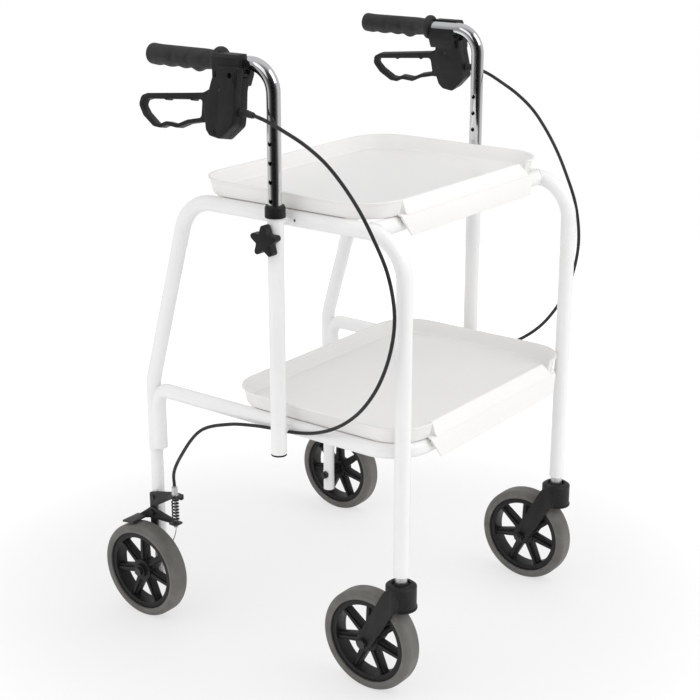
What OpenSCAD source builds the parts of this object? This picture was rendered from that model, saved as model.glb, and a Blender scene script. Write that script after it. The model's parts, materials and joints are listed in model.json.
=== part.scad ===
// Indoor walker: tube frame on four wheels, two lift-off trays, adjustable handles with hand brakes.
// Millimetres, +Z up, floor at z = 0. The user stands at +Y and walks towards -Y; +X is the user's left.
// Every sided piece is drawn on the left (+X) and mirrored for the right.

/* [Frame] */
// Distance between the two side hoops, axis to axis
track_w = 430; // [420:2:460]
// Distance from the front leg axis to the rear leg axis
leg_span = 456; // [450:2:480]
// Height of the hoops' top rails, axis
rail_z = 662; // [650:2:680]
// Height of the shelf frame, axis
shelf_z = 362; // [352:2:370]
// Outer diameter of the frame tubes
tube_d = 22.2; // [21.6:0.1:22.8]

/* [Wheels] */
// Diameter of all four wheels
wheel_d = 150; // [140:2:156]
// Width of the tyres
wheel_w = 28; // [24:1:29]
// Spokes in each hub
spoke_n = 7; // [5:1:9]

/* [Handles] */
// Height of the grip axis at the setting drawn
grip_z = 866.5; // [856:0.5:890]
// Diameter of the grip's body
grip_d = 27; // [26:0.5:30]
// Swing of the brake lever, degrees
lever_swing = 14; // [8:1:14]
// Reach of the star knob's arms
knob_r = 22; // [20:1:26]
// Arms of the star knob
knob_arms = 5; // [4:1:6]

/* [Brakes] */
// Coils of each brake spring
spring_turns = 7; // [5:1:9]
// Wire diameter of each brake spring
spring_wire = 2.4; // [1.8:0.2:2.6]

/* [Trays] */
// Height of the tray wall above the tray floor
tray_wall_h = 21; // [16:1:30]
// Wall thickness of the tray moulding
tray_t = 2.6; // [2.2:0.2:3]

/* [Hidden] */
$fn = 64;
white = [0.93, 0.93, 0.92];
chrome = [0.75, 0.76, 0.78];
steel = [0.62, 0.63, 0.65];
black = [0.10, 0.10, 0.11];
rubber = [0.38, 0.37, 0.35];
cream = [0.95, 0.94, 0.91];

// Running and assembly gaps
fit = 0.05;
gap = 0.3;

// Frame layout
tube_wall = 1.5;
bore_d = tube_d - 2 * tube_wall;
stem_d = bore_d - 0.15;
hoop_x = track_w / 2;
trail = 50;
front_y = -(leg_span + trail) / 2;
rear_y = front_y + leg_span;
axle_z = wheel_d / 2;
foot_z = wheel_d + 37;
hoop_end_z = rail_z - 400;
// The rear leg leans 7 in 24 down to a knee just above the shelf, so every bend starts on a round number
knee_room = 12;
lean_h = 24 * floor((rail_z - shelf_z - knee_room) / 24);
lean_y = lean_h * 7 / 24;
hoop_pts = [[front_y, foot_z], [front_y, rail_z], [rear_y - lean_y, rail_z], [rear_y, rail_z - lean_h],
    [rear_y, hoop_end_z]];
hoop_radii = [60, 60, 84];
bar_front = 53;
bar_apart = 262;
shelf_corner = ceil(2 * (tube_d + 0.5) / (sqrt(2) - 1)) / 2;
saddle_y = rear_y - 8.5;
saddle_r = 22;
leg_low = axle_z - 29.5;
leg_top = hoop_end_z + 40;

// Handle sockets
socket_x = hoop_x + 31.3;
socket_y = front_y + 187.5;
socket_low = shelf_z - 30;
socket_top = rail_z + 6;
knob_z = min(rail_z - 22.2, grip_z - 226.7);
hole_pitch = 25.4;
stem_low = knob_z - 80;
stem_bend = 36;
boss_end = 13.4;
knob_tip = 4.2;

// Brake handle: its plane stands outside the stem and leans outwards. In the outlines the first number
// counts to the rear of the stem axis, the second up from the grip axis
brake_off = 12;
brake_tilt = 11.3;
housing_w = 26;
cavity_w = 13;
lever_w = 12;
pivot = [63.6, -36.4];
housing_pts = [[37, -5], [38.2, -34.4], [35.3, -60.5], [35.3, -78.7], [56.7, -98.7], [74.8, -96],
    [81.8, -89.2], [88.9, -62.4], [83.7, -38.3], [74, -5]];
housing_radii = [3, 20, 20, 8, 8, 6, 6, 16, 20, 3];
cavity_pts = [[44, -24], [42, -71], [56, -84], [120, -84], [120, -24]];
screw_at = [63.6, -90.2];
clamp_from = 42;
clamp_to = 83;
clamp_screws = [50, 75];
clamp_screw_w = -13.8;
cheek_out = 24;
outer_clamp = [[1.7, 12], [1.7, -18], [cheek_out, -18], [cheek_out, 8], [20, 12]];
outer_room = [[1.6, 20], [1.6, -18.2], [40, -18.2], [40, 20]];
inner_clamp = [[-12.5, 0], [-12.5, -16], [-6, -30], [12, -30], [12, -18.3], [1.5, -18.3], [1.5, 0]];
lever_outer = [[53, -42.6], [53, -66.7], [74, -80.1], [97.7, -80.1], [120.4, -84.7], [137.6, -92.3],
    [157.6, -90.4], [168.4, -95.2], [181.3, -94.3], [201.4, -81.6], [211.5, -67.7], [208.5, -55.2],
    [197.4, -51.3], [121, -44.1], [97.7, -41.7], [73.4, -28.3], [55.6, -28.3]];
lever_radii = [5, 8, 12, 12, 12, 12, 12, 8, 10, 9, 8, 8, 9, 60, 15, 6, 8];
lever_inner = [[96.7, -74.4], [121.3, -79.5], [138.6, -87], [158.6, -85.1], [169.4, -89.9], [178.4, -89],
    [197, -76.8], [205.1, -67.7], [202.9, -60.9], [194.1, -58.3], [119.4, -52.3], [98.1, -50.4]];
lever_in_radii = [5, 10, 12, 10, 8, 6, 7, 5, 4, 6, 60, 5];
lever_bumps = [[163, -54.2], [117, -50.6]];
boot_from = [34.4, -60.8];
boot_to = [12.7, -63.4];
wire_w = -61;
stem_end = 206;

// Rear brake: heights count from the arm's pivot, v counts rearwards from the rear leg axis
pivot_z = wheel_d + 12;
plate_x = hoop_x + stem_d / 2 + 0.075;
plate_t = 3;
arm_x = plate_x + plate_t + 0.6;
pull_v = -54.5;
pull_x = plate_x + 11.4;
tab_z = 41;
pull_r = 25.7;
arm_swing = lever_swing * pull_r / -pull_v;
rear_wheel_x = plate_x + 10.2 + wheel_w / 2;
bracket_pts = [[-7, -29], [7, -29], [7, 31], [-6, 35], [-46, 44], [-62, 44], [-62, 35], [-44, 34],
    [-7, 12]];
bracket_radii = [5, 5, 4, 6, 3, 3, 3, 6, 6];
shoe_at = 15.6;
shoe_reach = wheel_d / 2 + 0.4 + plate_t / 2;
shoe_on = [shoe_reach * sin(shoe_at), shoe_reach * cos(shoe_at) + axle_z - pivot_z];
shoe_rest = [shoe_on.x * cos(arm_swing) - shoe_on.y * sin(arm_swing),
    shoe_on.x * sin(arm_swing) + shoe_on.y * cos(arm_swing)];
shoe_tilt = arm_swing - shoe_at;

// Wheels
rim_r = axle_z - 12.95;
hub_l = 31;
fork_gap = 33;
fork_w = 43.5;
fork_top = foot_z - 12;
fork_dish = 3;

// Trays, counted from the axis of the crossbar under the front and the axis of the rails
tray_half = track_w / 2 + 7;
tray_back = 308.4;
tray_corner = 60;
tray_low = tube_d / 2 + gap;
tray_floor = tray_low + tray_t;
tray_top = tray_floor + tray_wall_h;
wall_start = 21.4;
lip_half = tray_half - 49;
notch_half = tray_half - 23;

// Spring and cable
spring_r = 4.8;
spring_sides = 6;
spring_rings = 8;
spring_low = pivot_z + gap;
spring_high = pivot_z + tab_z - gap;
cable_d = 5;
wire_d = 1.6;
cable_sides = 10;

// Placing: a sided piece, a pair, and a drawing in the plane (rearwards, up) extruded along +X
module side(s) {
    if (s > 0) children();
    else mirror([1, 0, 0]) children();
}
module both() {
    children();
    mirror([1, 0, 0]) children();
}
module to_side() {
    rotate([90, 0, 90]) children();
}
module along_x() {
    rotate([0, 90, 0]) children();
}

// Flat shapes
function unit(v) = v / norm(v);
function left(v) = [-v.y, v.x];
function turn(a, b) = atan2(a.x * b.y - a.y * b.x, a * b);
function before(pts, i) = pts[(i + len(pts) - 1) % len(pts)];
function after(pts, i) = pts[(i + 1) % len(pts)];
function bend(pts, i) = turn(pts[i] - before(pts, i), after(pts, i) - pts[i]);
function half_angle(pts, i) = (180 - abs(bend(pts, i))) / 2;
function corner_centre(pts, i, r) = pts[i]
    + unit(unit(before(pts, i) - pts[i]) + unit(after(pts, i) - pts[i])) * r / sin(half_angle(pts, i));
function corner_cut(pts, i, r) = let (t = r / tan(half_angle(pts, i)))
    [pts[i] + unit(before(pts, i) - pts[i]) * t, pts[i] + unit(after(pts, i) - pts[i]) * t];

// A polygon, listed anticlockwise, with true arcs at its corners, inward ones too. The arcs overlap the
// straight edges by a hair, so that they cross and never merely touch
hair = 0.01;
module soft_polygon(pts, radii) {
    n = len(pts);
    difference() {
        polygon([for (i = [0:n - 1]) each corner_cut(pts, i, radii[i])]);
        for (i = [0:n - 1]) {
            if (bend(pts, i) < 0) translate(corner_centre(pts, i, radii[i])) circle(r = radii[i] + hair);
        }
    }
    for (i = [0:n - 1]) {
        if (bend(pts, i) > 0) translate(corner_centre(pts, i, radii[i])) circle(r = radii[i] + hair);
    }
}

// A bar with round ends of two radii
module tapered_bar(p, q, r1, r2) {
    d = q - p;
    a = atan2(d.y, d.x);
    b = acos((r1 - r2) / norm(d));
    translate(p) circle(r = r1 + hair);
    translate(q) circle(r = r2 + hair);
    polygon([p + r1 * [cos(a + b), sin(a + b)], p + r1 * [cos(a - b), sin(a - b)],
        q + r2 * [cos(a - b), sin(a - b)], q + r2 * [cos(a + b), sin(a + b)]]);
}

// Bent tubes: straight runs and arcs in one plane; a wall of half the diameter makes a solid bar
module ring(d, wall) {
    difference() {
        circle(d = d);
        if (2 * wall < d - 0.01) circle(d = d - 2 * wall);
    }
}
module run(a, b, d, wall) {
    if (norm(b - a) > 0.01) {
        translate([a.x, a.y, 0]) rotate([0, 0, atan2(b.y - a.y, b.x - a.x)]) along_x()
            linear_extrude(norm(b - a)) ring(d, wall);
    }
}
module elbow(start, dir, angle, r, d, wall) {
    centre = start + sign(angle) * r * left(dir);
    first = atan2(start.y - centre.y, start.x - centre.x);
    translate([centre.x, centre.y, 0]) rotate([0, 0, angle > 0 ? first : first + angle]) difference() {
        rotate_extrude(angle = 90) translate([r, 0]) ring(d, wall);
        if (abs(angle) < 89.9) {
            rotate([0, 0, abs(angle)]) translate([-2 * r, 0, -d]) cube([4 * r, 2 * r, 2 * d]);
        }
    }
}
module bent_tube(pts, radii, d, wall) {
    n = len(pts);
    dirs = [for (i = [0:n - 2]) unit(pts[i + 1] - pts[i])];
    turns = [for (i = [0:n - 1]) i == 0 || i == n - 1 ? 0 : turn(dirs[i - 1], dirs[i])];
    cuts = [for (i = [0:n - 1]) i == 0 || i == n - 1 ? 0 : radii[i - 1] * tan(abs(turns[i]) / 2)];
    for (i = [0:n - 2]) {
        run(pts[i] + dirs[i] * cuts[i], pts[i + 1] - dirs[i] * cuts[i + 1], d, wall);
    }
    for (i = [1:n - 2]) {
        elbow(pts[i] - dirs[i - 1] * cuts[i], dirs[i - 1], turns[i], radii[i - 1], d, wall);
    }
}

// Swept wires: rings of points round a route, joined to one closed skin
function ring_points(p, t, ref, r, n) = let (e1 = unit(ref - (ref * t) * t), e2 = cross(t, e1))
    [for (k = [0:n - 1]) p + r * (cos(360 * k / n) * e1 + sin(360 * k / n) * e2)];
function skin(rings, n) = concat([[for (k = [0:n - 1]) k]],
    [for (i = [0:rings - 2], k = [0:n - 1], m = [0, 1])
        m == 0 ? [i * n + k, (i + 1) * n + k, (i + 1) * n + (k + 1) % n]
            : [i * n + k, (i + 1) * n + (k + 1) % n, i * n + (k + 1) % n]],
    [[for (k = [n - 1:-1:0]) (rings - 1) * n + k]]);
function tangent(p, i) = let (n = len(p))
    unit(i == 0 ? p[1] - p[0] : i == n - 1 ? p[n - 1] - p[n - 2]
        : unit(p[i + 1] - p[i]) + unit(p[i] - p[i - 1]));
function smooth_at(p, i, s) = let (a = p[max(i - 1, 0)], b = p[i], c = p[i + 1], d = p[min(i + 2, len(p) - 1)])
    0.5 * (2 * b + (c - a) * s + (2 * a - 5 * b + 4 * c - d) * s * s + (3 * b - a - 3 * c + d) * s * s * s);
module wire(p, radii, refs, n) {
    polyhedron(points = [for (i = [0:len(p) - 1]) each ring_points(p[i], tangent(p, i), refs[i], radii[i], n)],
        faces = skin(len(p), n), convexity = 10);
}

// Frame tubes
module hoop(d, wall) {
    translate([hoop_x, 0, 0]) to_side() bent_tube(hoop_pts, hoop_radii, d, wall);
}
module side_hoop() {
    color(white) difference() {
        hoop(tube_d, tube_wall);
        translate([hoop_x, socket_y - 16, rail_z]) along_x() cylinder(d = 4, h = 30);
    }
}
module side_hoop_right() {
    side(-1) side_hoop();
}
module side_hoop_left() {
    side(1) side_hoop();
}
module crossbar(y, z) {
    translate([-hoop_x, y, z]) along_x() linear_extrude(track_w) ring(tube_d, tube_wall);
}
module rail_cut(y, z) {
    both() translate([hoop_x, y - 30, z]) rotate([-90, 0, 0]) cylinder(d = tube_d + 2 * fit, h = 60);
}
module upper_front_crossbar() {
    color(white) difference() {
        crossbar(front_y + bar_front, rail_z);
        both() hoop(tube_d + 2 * fit, tube_d);
    }
}
module upper_rear_crossbar() {
    color(white) difference() {
        crossbar(front_y + bar_front + bar_apart, rail_z);
        rail_cut(front_y + bar_front + bar_apart, rail_z);
    }
}
module shelf_frame() {
    color(white) difference() {
        union() {
            translate([0, 0, shelf_z]) bent_tube([[hoop_x, saddle_y - saddle_r], [hoop_x, front_y],
                [-hoop_x, front_y], [-hoop_x, saddle_y - saddle_r]], [shelf_corner, shelf_corner],
                tube_d, tube_wall);
            both() translate([hoop_x, 0, 0]) to_side() bent_tube([[saddle_y - saddle_r, shelf_z],
                [saddle_y, shelf_z], [saddle_y, hoop_end_z + 6]], [saddle_r], tube_d, tube_wall);
        }
        both() hoop(tube_d + 2 * fit, tube_d);
    }
}
module shelf_rear_crossbar() {
    color(white) difference() {
        crossbar(front_y + bar_apart, shelf_z);
        rail_cut(front_y + bar_apart, shelf_z);
    }
}
module rear_leg_tube() {
    color(white) difference() {
        translate([hoop_x, rear_y, leg_low]) linear_extrude(leg_top - leg_low) ring(stem_d, tube_wall);
        translate([hoop_x - 20, rear_y, axle_z]) along_x() cylinder(d = 8.1, h = 40);
        translate([hoop_x, rear_y, pivot_z]) along_x() cylinder(d = 6.1, h = 20);
        for (z = [-22, 24]) {
            translate([hoop_x, rear_y, pivot_z + z]) along_x() cylinder(d = 5.1, h = 20);
        }
    }
}
module rear_leg_tube_right() {
    side(-1) rear_leg_tube();
}
module rear_leg_tube_left() {
    side(1) rear_leg_tube();
}

// Handle sockets: upright tubes with a boss for the star knob's stud
module handle_socket() {
    color(white) difference() {
        union() {
            translate([socket_x, socket_y, socket_low]) cylinder(d = tube_d, h = socket_top - socket_low);
            translate([socket_x, socket_y, knob_z]) along_x() cylinder(d = 14, h = boss_end);
        }
        translate([socket_x, socket_y, socket_low - 1]) cylinder(d = bore_d, h = socket_top - socket_low + 2);
        translate([socket_x, socket_y, knob_z]) along_x() cylinder(d = 8.2, h = 30);
    }
}
module handle_socket_right() {
    side(-1) handle_socket();
}
module handle_socket_left() {
    side(1) handle_socket();
}
module socket_collars() {
    color(black) both() translate([socket_x, socket_y, socket_top + gap]) rotate_extrude()
        polygon([[bore_d / 2, 0], [14, 0], [14, 13], [12.4, 16.3], [bore_d / 2, 16.3]]);
}
module plug(d, bore) {
    translate([0, 0, -2.5]) cylinder(d = d, h = 2.4);
    translate([0, 0, -0.2]) cylinder(d = bore - 0.2, h = 12);
}
module tube_end_plugs() {
    color(black) both() {
        translate([socket_x, socket_y, socket_low]) plug(tube_d, bore_d);
        translate([hoop_x, rear_y, leg_low]) plug(stem_d, stem_d - 2 * tube_wall);
    }
}
module standoffs() {
    color(white) both() difference() {
        union() {
            translate([hoop_x, socket_y, rail_z]) along_x() cylinder(d = 12, h = socket_x - hoop_x);
            translate([hoop_x, socket_y, shelf_z]) along_x() cylinder(d = 10, h = socket_x - hoop_x);
        }
        translate([socket_x, socket_y, shelf_z - 50])
            cylinder(d = tube_d + 2 * fit, h = rail_z - shelf_z + 100);
        for (z = [shelf_z, rail_z]) {
            translate([hoop_x, socket_y - 30, z]) rotate([-90, 0, 0]) cylinder(d = tube_d + 2 * fit, h = 60);
        }
    }
}

// Rear brakes
module at_pivot(x) {
    translate([x, rear_y, pivot_z]) to_side() children();
}
module brake_bracket() {
    color(black) difference() {
        union() {
            at_pivot(plate_x) linear_extrude(plate_t) soft_polygon(bracket_pts, bracket_radii);
            translate([plate_x, rear_y - 62, pivot_z + tab_z]) cube([19.4, 16, plate_t]);
        }
        at_pivot(plate_x - 1) cylinder(d = 6.1, h = 5);
        for (z = [-22, 24]) {
            at_pivot(plate_x - 1) translate([0, z]) cylinder(d = 5.1, h = 5);
        }
        translate([pull_x, rear_y + pull_v, pivot_z + tab_z - 1]) cylinder(d = 6.1, h = 5);
    }
}
module brake_bracket_right() {
    side(-1) brake_bracket();
}
module brake_bracket_left() {
    side(1) brake_bracket();
}
module brake_bolts() {
    color(steel) both() {
        for (z = [-22, 24]) {
            translate([0, rear_y, pivot_z + z]) along_x() {
                translate([0, 0, hoop_x + 4]) cylinder(d = 5, h = plate_x + plate_t + 1 - hoop_x - 4);
                translate([0, 0, plate_x + plate_t + fit]) cylinder(d1 = 8.4, d2 = 6.4, h = 2.4);
            }
        }
        translate([0, rear_y, pivot_z]) along_x() {
            translate([0, 0, hoop_x + 4]) cylinder(d = 6, h = arm_x + plate_t + 1 - hoop_x - 4);
            translate([0, 0, arm_x + plate_t + gap]) cylinder(d = 11, h = 2.6, $fn = 6);
        }
    }
}
module cable_adjusters() {
    color(steel) both() translate([pull_x, rear_y + pull_v, pivot_z + tab_z]) difference() {
        union() {
            translate([0, 0, -3]) cylinder(d = 6, h = 22);
            translate([0, 0, plate_t + fit]) cylinder(d = 11, h = 3, $fn = 6);
            translate([0, 0, 6.2]) cylinder(d = 9, h = 11);
        }
        translate([0, 0, -4]) cylinder(d = 2.2, h = 30);
    }
}
module brake_arm() {
    color(black) difference() {
        union() {
            at_pivot(arm_x) linear_extrude(plate_t) {
                tapered_bar([0, 0], [-50, -4], 9, 3.5);
                tapered_bar([0, 0], shoe_rest, 8.6, 4);
            }
            translate([arm_x, rear_y - 61, pivot_z - plate_t]) cube([14.8, 14, plate_t]);
            translate([arm_x, rear_y + shoe_rest.x, pivot_z + shoe_rest.y]) rotate([shoe_tilt, 0, 0])
                translate([0, -11.5, -plate_t / 2]) cube([rear_wheel_x + wheel_w / 2 - 1 - arm_x, 23, plate_t]);
        }
        at_pivot(arm_x - 1) cylinder(d = 6.1, h = 5);
        translate([pull_x, rear_y + pull_v, pivot_z - 5]) cylinder(d = 4, h = 10);
    }
}
module brake_arm_right() {
    side(-1) brake_arm();
}
module brake_arm_left() {
    side(1) brake_arm();
}
module wire_stop() {
    color(steel) translate([pull_x, rear_y + pull_v, pivot_z - plate_t - fit - 5]) difference() {
        cylinder(d = 6, h = 5);
        translate([0, 0, -1]) cylinder(d = 2.2, h = 8);
    }
}
module wire_stop_right() {
    side(-1) wire_stop();
}
module wire_stop_left() {
    side(1) wire_stop();
}

// Brake spring: a helix whose two ends run square on to the tabs
spring_n = spring_turns * spring_rings;
spring_mid_low = spring_low + spring_wire;
spring_mid_high = spring_high - spring_wire;
function coil(i) = [spring_r * cos(360 * i / spring_rings), spring_r * sin(360 * i / spring_rings),
    spring_mid_low + (spring_mid_high - spring_mid_low) * i / spring_n];
spring_path = concat([[spring_r, 0, spring_low]], [for (i = [0:spring_n]) coil(i)],
    [[spring_r, 0, spring_high]]);
spring_refs = concat([[1, 0, 0]], [for (i = [0:spring_n]) [coil(i).x, coil(i).y, 0] / spring_r],
    [[1, 0, 0]]);
spring_least = min([for (i = [0:len(spring_path) - 1], j = [0:len(spring_path) - 1])
    if (j > i + 5) norm(spring_path[j] - spring_path[i])]) - spring_wire;
echo(spring_least_gap = spring_least);
module brake_spring() {
    color(black) translate([pull_x, rear_y + pull_v, 0])
        wire(spring_path, [for (p = spring_path) spring_wire / 2], spring_refs, spring_sides);
}
module brake_spring_right() {
    side(-1) brake_spring();
}
module brake_spring_left() {
    side(1) brake_spring();
}

// Brake cable: sleeve from the lever housing to the adjuster, inner wire showing at both ends
function brake_point(p) = [socket_x + brake_off - p.y * sin(brake_tilt), socket_y + p.x,
    grip_z + p.y * cos(brake_tilt)];
cable_top = [[22.5, -8, -64], [19.7, -33.5, -76.5], [14.7, -74.5, -98.5], [4.7, -151.5, -172],
    [0.7, -178, -213.5], [-1.8, -191.5, -257.5], [-3.8, -192, -306.5], [-4.3, -181.5, -378]];
cable_low = [[25, -190, 409], [20, -140, 383], [17.5, -95, 363], [15.5, -65, 351.5], [16, -15, 351.5],
    [17, 40, 344], [18.5, 93, 324], [20.5, 132, 276]];
cable_route = concat([brake_point(boot_from - [0.5, 0.06]), brake_point(boot_to)],
    [for (p = cable_top) [socket_x, socket_y, grip_z] + p],
    [for (p = cable_low) [hoop_x + p.x, socket_y + 65.5 + p.y, shelf_z - 362 + p.z]],
    [for (z = [40, 19.6]) [pull_x, rear_y + pull_v, pivot_z + tab_z + z]]);
sleeve_path = concat([for (i = [0:len(cable_route) - 2], s = [0, 0.5]) smooth_at(cable_route, i, s)],
    [cable_route[len(cable_route) - 1]]);
wire_top = [for (u = [52, 49.5, 49, 34.9]) brake_point([u, wire_w])];
wire_low = [for (z = [tab_z + 19.1, -12]) [pull_x, rear_y + pull_v, pivot_z + z]];
cable_path = concat(wire_top, sleeve_path, wire_low);
cable_radii = concat([1.8, 1.8, wire_d / 2, wire_d / 2], [for (p = sleeve_path) cable_d / 2],
    [wire_d / 2, wire_d / 2]);
cable_length = sum_length(sleeve_path, 0);
function sum_length(p, i) = i >= len(p) - 1 ? 0 : norm(p[i + 1] - p[i]) + sum_length(p, i + 1);
echo(cable_length = cable_length);
module brake_cable() {
    color(black) wire(cable_path, cable_radii, [for (p = cable_path) [1, 0, 0]], cable_sides);
}
module brake_cable_right() {
    side(-1) brake_cable();
}
module brake_cable_left() {
    side(1) brake_cable();
}

// Wheels, drawn round the z axis
module tyre_shape() {
    rotate_extrude() {
        translate([rim_r + fit, -wheel_w / 2]) square([axle_z - 6 - rim_r - fit, wheel_w]);
        translate([rim_r + fit, 6 - wheel_w / 2]) square([axle_z - rim_r - fit, wheel_w - 12]);
        for (m = [-1, 1]) {
            translate([axle_z - 6, m * (wheel_w / 2 - 6)]) circle(r = 6);
        }
    }
}
module hub_shape(boss_l) {
    difference() {
        union() {
            translate([0, 0, -11.5]) linear_extrude(23) ring(2 * rim_r, 8.5);
            translate([0, 0, -10]) cylinder(r = 17, h = 20);
            translate([0, 0, -boss_l / 2]) cylinder(r = 10.5, h = boss_l);
            for (i = [0:spoke_n - 1]) {
                rotate([0, 0, (i + 0.5) * 360 / spoke_n]) {
                    translate([0, 0, -5]) linear_extrude(10)
                        polygon([[12, -6.8], [rim_r - 5, -4.8], [rim_r - 5, 4.8], [12, 6.8]]);
                    translate([0, 0, -8]) linear_extrude(16)
                        polygon([[12, -2.4], [rim_r - 6, -1.6], [rim_r - 6, 1.6], [12, 2.4]]);
                }
            }
        }
        translate([0, 0, -boss_l]) cylinder(d = 8.1, h = 2 * boss_l);
    }
}
module at_rear_wheel() {
    translate([rear_wheel_x, rear_y, axle_z]) along_x() children();
}
module at_caster_wheel() {
    translate([hoop_x, front_y + trail, axle_z]) along_x() children();
}
module rear_hub() {
    color(black) at_rear_wheel() hub_shape(hub_l);
}
module rear_hub_right() {
    side(-1) rear_hub();
}
module rear_hub_left() {
    side(1) rear_hub();
}
module rear_tyre() {
    color(rubber) at_rear_wheel() tyre_shape();
}
module rear_tyre_right() {
    side(-1) rear_tyre();
}
module rear_tyre_left() {
    side(1) rear_tyre();
}
module rear_axle_bolts() {
    color(steel) both() translate([0, rear_y, axle_z]) along_x() {
        translate([0, 0, hoop_x - 19]) cylinder(d = 8, h = rear_wheel_x + hub_l / 2 + 1 - hoop_x + 19);
        translate([0, 0, rear_wheel_x + hub_l / 2 + gap]) cylinder(d = 14, h = 3.9, $fn = 6);
        translate([0, 0, hoop_x - stem_d / 2 - 6.6]) cylinder(d = 14, h = 6.5, $fn = 6);
    }
}
module rear_axle_spacers() {
    color(black) both() translate([plate_x, rear_y, axle_z]) along_x()
        linear_extrude(rear_wheel_x - hub_l / 2 - gap - plate_x) ring(15, 3.4);
}

// Front casters
module caster_stems() {
    color(steel) both() translate([hoop_x, front_y, foot_z]) {
        cylinder(d = bore_d - 0.1, h = 34);
        translate([0, 0, -11.7 - fork_dish]) cylinder(d = 17, h = 12 + fork_dish);
        translate([0, 0, -40]) cylinder(d = 10, h = 30);
    }
}
module caster_fork() {
    color(black) difference() {
        union() {
            translate([hoop_x, front_y, fork_top - 36]) rotate([0, 0, -90]) cylinder(d = fork_w, h = 33);
            translate([hoop_x, front_y, fork_top - 3]) rotate([0, 0, -90])
                cylinder(d1 = fork_w, d2 = fork_w - 8, h = 3);
            intersection() {
                translate([hoop_x, front_y, fork_top - 36]) cylinder(d = fork_w + 2.4, h = 2.2);
                translate([hoop_x - 50, front_y - 58, fork_top - 40]) cube([100, 50, 10]);
            }
            translate([hoop_x - fork_w / 2 + 0.6, front_y, fork_top]) to_side() linear_extrude(fork_w - 1.2)
                tapered_bar([4, -19], [trail, axle_z - fork_top], 14, 12);
        }
        at_caster_wheel() translate([0, 0, -fork_gap / 2]) cylinder(r = axle_z + 4, h = fork_gap);
        translate([hoop_x, front_y, fork_top - 28.5]) cylinder(d = 10.1, h = 40);
        translate([hoop_x, front_y, fork_top - fork_dish]) cylinder(d = 27, h = 10);
        at_caster_wheel() translate([0, 0, -30]) cylinder(d = 8.1, h = 60);
    }
}
module caster_fork_right() {
    side(-1) caster_fork();
}
module caster_fork_left() {
    side(1) caster_fork();
}
module caster_axle() {
    color(steel) at_caster_wheel() {
        translate([0, 0, -fork_w / 2 - 8]) cylinder(d = 8, h = fork_w + 9);
        translate([0, 0, fork_w / 2 + fit]) cylinder(d = 14, h = 4.5, $fn = 6);
        translate([0, 0, -fork_w / 2 - 6.5 - fit]) cylinder(d = 14, h = 6.5, $fn = 6);
    }
}
module caster_axle_right() {
    side(-1) caster_axle();
}
module caster_axle_left() {
    side(1) caster_axle();
}
module caster_hub() {
    color(black) at_caster_wheel() hub_shape(fork_gap - 2 * gap);
}
module caster_hub_right() {
    side(-1) caster_hub();
}
module caster_hub_left() {
    side(1) caster_hub();
}
module caster_tyre() {
    color(rubber) at_caster_wheel() tyre_shape();
}
module caster_tyre_right() {
    side(-1) caster_tyre();
}
module caster_tyre_left() {
    side(1) caster_tyre();
}

// Handles
module at_brake() {
    translate([socket_x + brake_off, socket_y, grip_z]) rotate([0, -brake_tilt, 0]) to_side() children();
}
module at_handle() {
    translate([socket_x, socket_y, grip_z]) to_side() children();
}
module handle_stem() {
    color(chrome) difference() {
        at_handle() bent_tube([[0, stem_low - grip_z], [0, 0], [stem_end, 0]], [stem_bend], stem_d, tube_wall);
        for (i = [-2:5]) {
            translate([socket_x - 20, socket_y, knob_z + i * hole_pitch]) along_x() cylinder(d = 6.5, h = 40);
        }
    }
}
module handle_stem_right() {
    side(-1) handle_stem();
}
module handle_stem_left() {
    side(1) handle_stem();
}
grip_r = grip_d / 2;
grip_bumps = [[125, 5, 13.2], [151, 3, 13], [176, 3, 13], [199, 3.4, 11.6]];
module grip() {
    color(black) translate([socket_x, socket_y, grip_z]) difference() {
        union() {
            rotate([-90, 0, 0]) rotate_extrude() {
                translate([0, 92]) square([grip_r, 115]);
                translate([0, 92]) square([grip_r - 6, 121]);
                translate([grip_r - 6, 207]) circle(r = 6);
                translate([0, 86.5]) square([18.5, 5]);
                translate([0, 84.5]) square([16.5, 9]);
                translate([16.5, 86.5]) circle(r = 2);
                translate([16.5, 91.5]) circle(r = 2);
            }
            for (b = grip_bumps) {
                translate([0, b[0], -b[1] - grip_r + 13.5]) sphere(r = b[2] - 13.5 + grip_r);
            }
        }
        translate([0, 80, 0]) rotate([-90, 0, 0]) cylinder(d = stem_d + 2 * fit, h = stem_end - 79.5);
        for (m = [-1, 1], u = [112, 139, 165]) {
            translate([m * (grip_r + 9.4), u, 0]) sphere(r = 11);
        }
    }
}
module grip_right() {
    side(-1) grip();
}
module grip_left() {
    side(1) grip();
}
module clamp_block(pts, from, to) {
    translate([socket_x, socket_y + to, grip_z]) rotate([90, 0, 0]) linear_extrude(to - from) polygon(pts);
}
module housing_cuts() {
    at_brake() {
        translate([0, 0, -cavity_w / 2]) linear_extrude(cavity_w) polygon(cavity_pts);
        translate([pivot.x, pivot.y, -20]) cylinder(d = 6.1, h = 40);
        translate([screw_at.x, screw_at.y, -10]) cylinder(d = 4.1, h = 30);
        translate([screw_at.x, screw_at.y, housing_w / 2 - 3]) cylinder(d = 7.4, h = 10);
        translate([30, wire_w, 0]) along_x() cylinder(d = 3.2, h = 18);
    }
    translate([socket_x, socket_y + 30, grip_z]) rotate([-90, 0, 0]) cylinder(d = stem_d + 2 * fit, h = 70);
    for (u = clamp_screws) {
        translate([socket_x - 10.2, socket_y + u, grip_z + clamp_screw_w]) along_x() cylinder(d = 4.1, h = 50);
        translate([socket_x + cheek_out - 3, socket_y + u, grip_z + clamp_screw_w]) along_x()
            cylinder(d = 7.4, h = 20);
    }
}
module housing_outer() {
    color(black) difference() {
        union() {
            at_brake() translate([0, 0, fit]) linear_extrude(housing_w / 2 - fit)
                soft_polygon(housing_pts, housing_radii);
            clamp_block(outer_clamp, clamp_from, clamp_to);
        }
        housing_cuts();
    }
}
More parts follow.
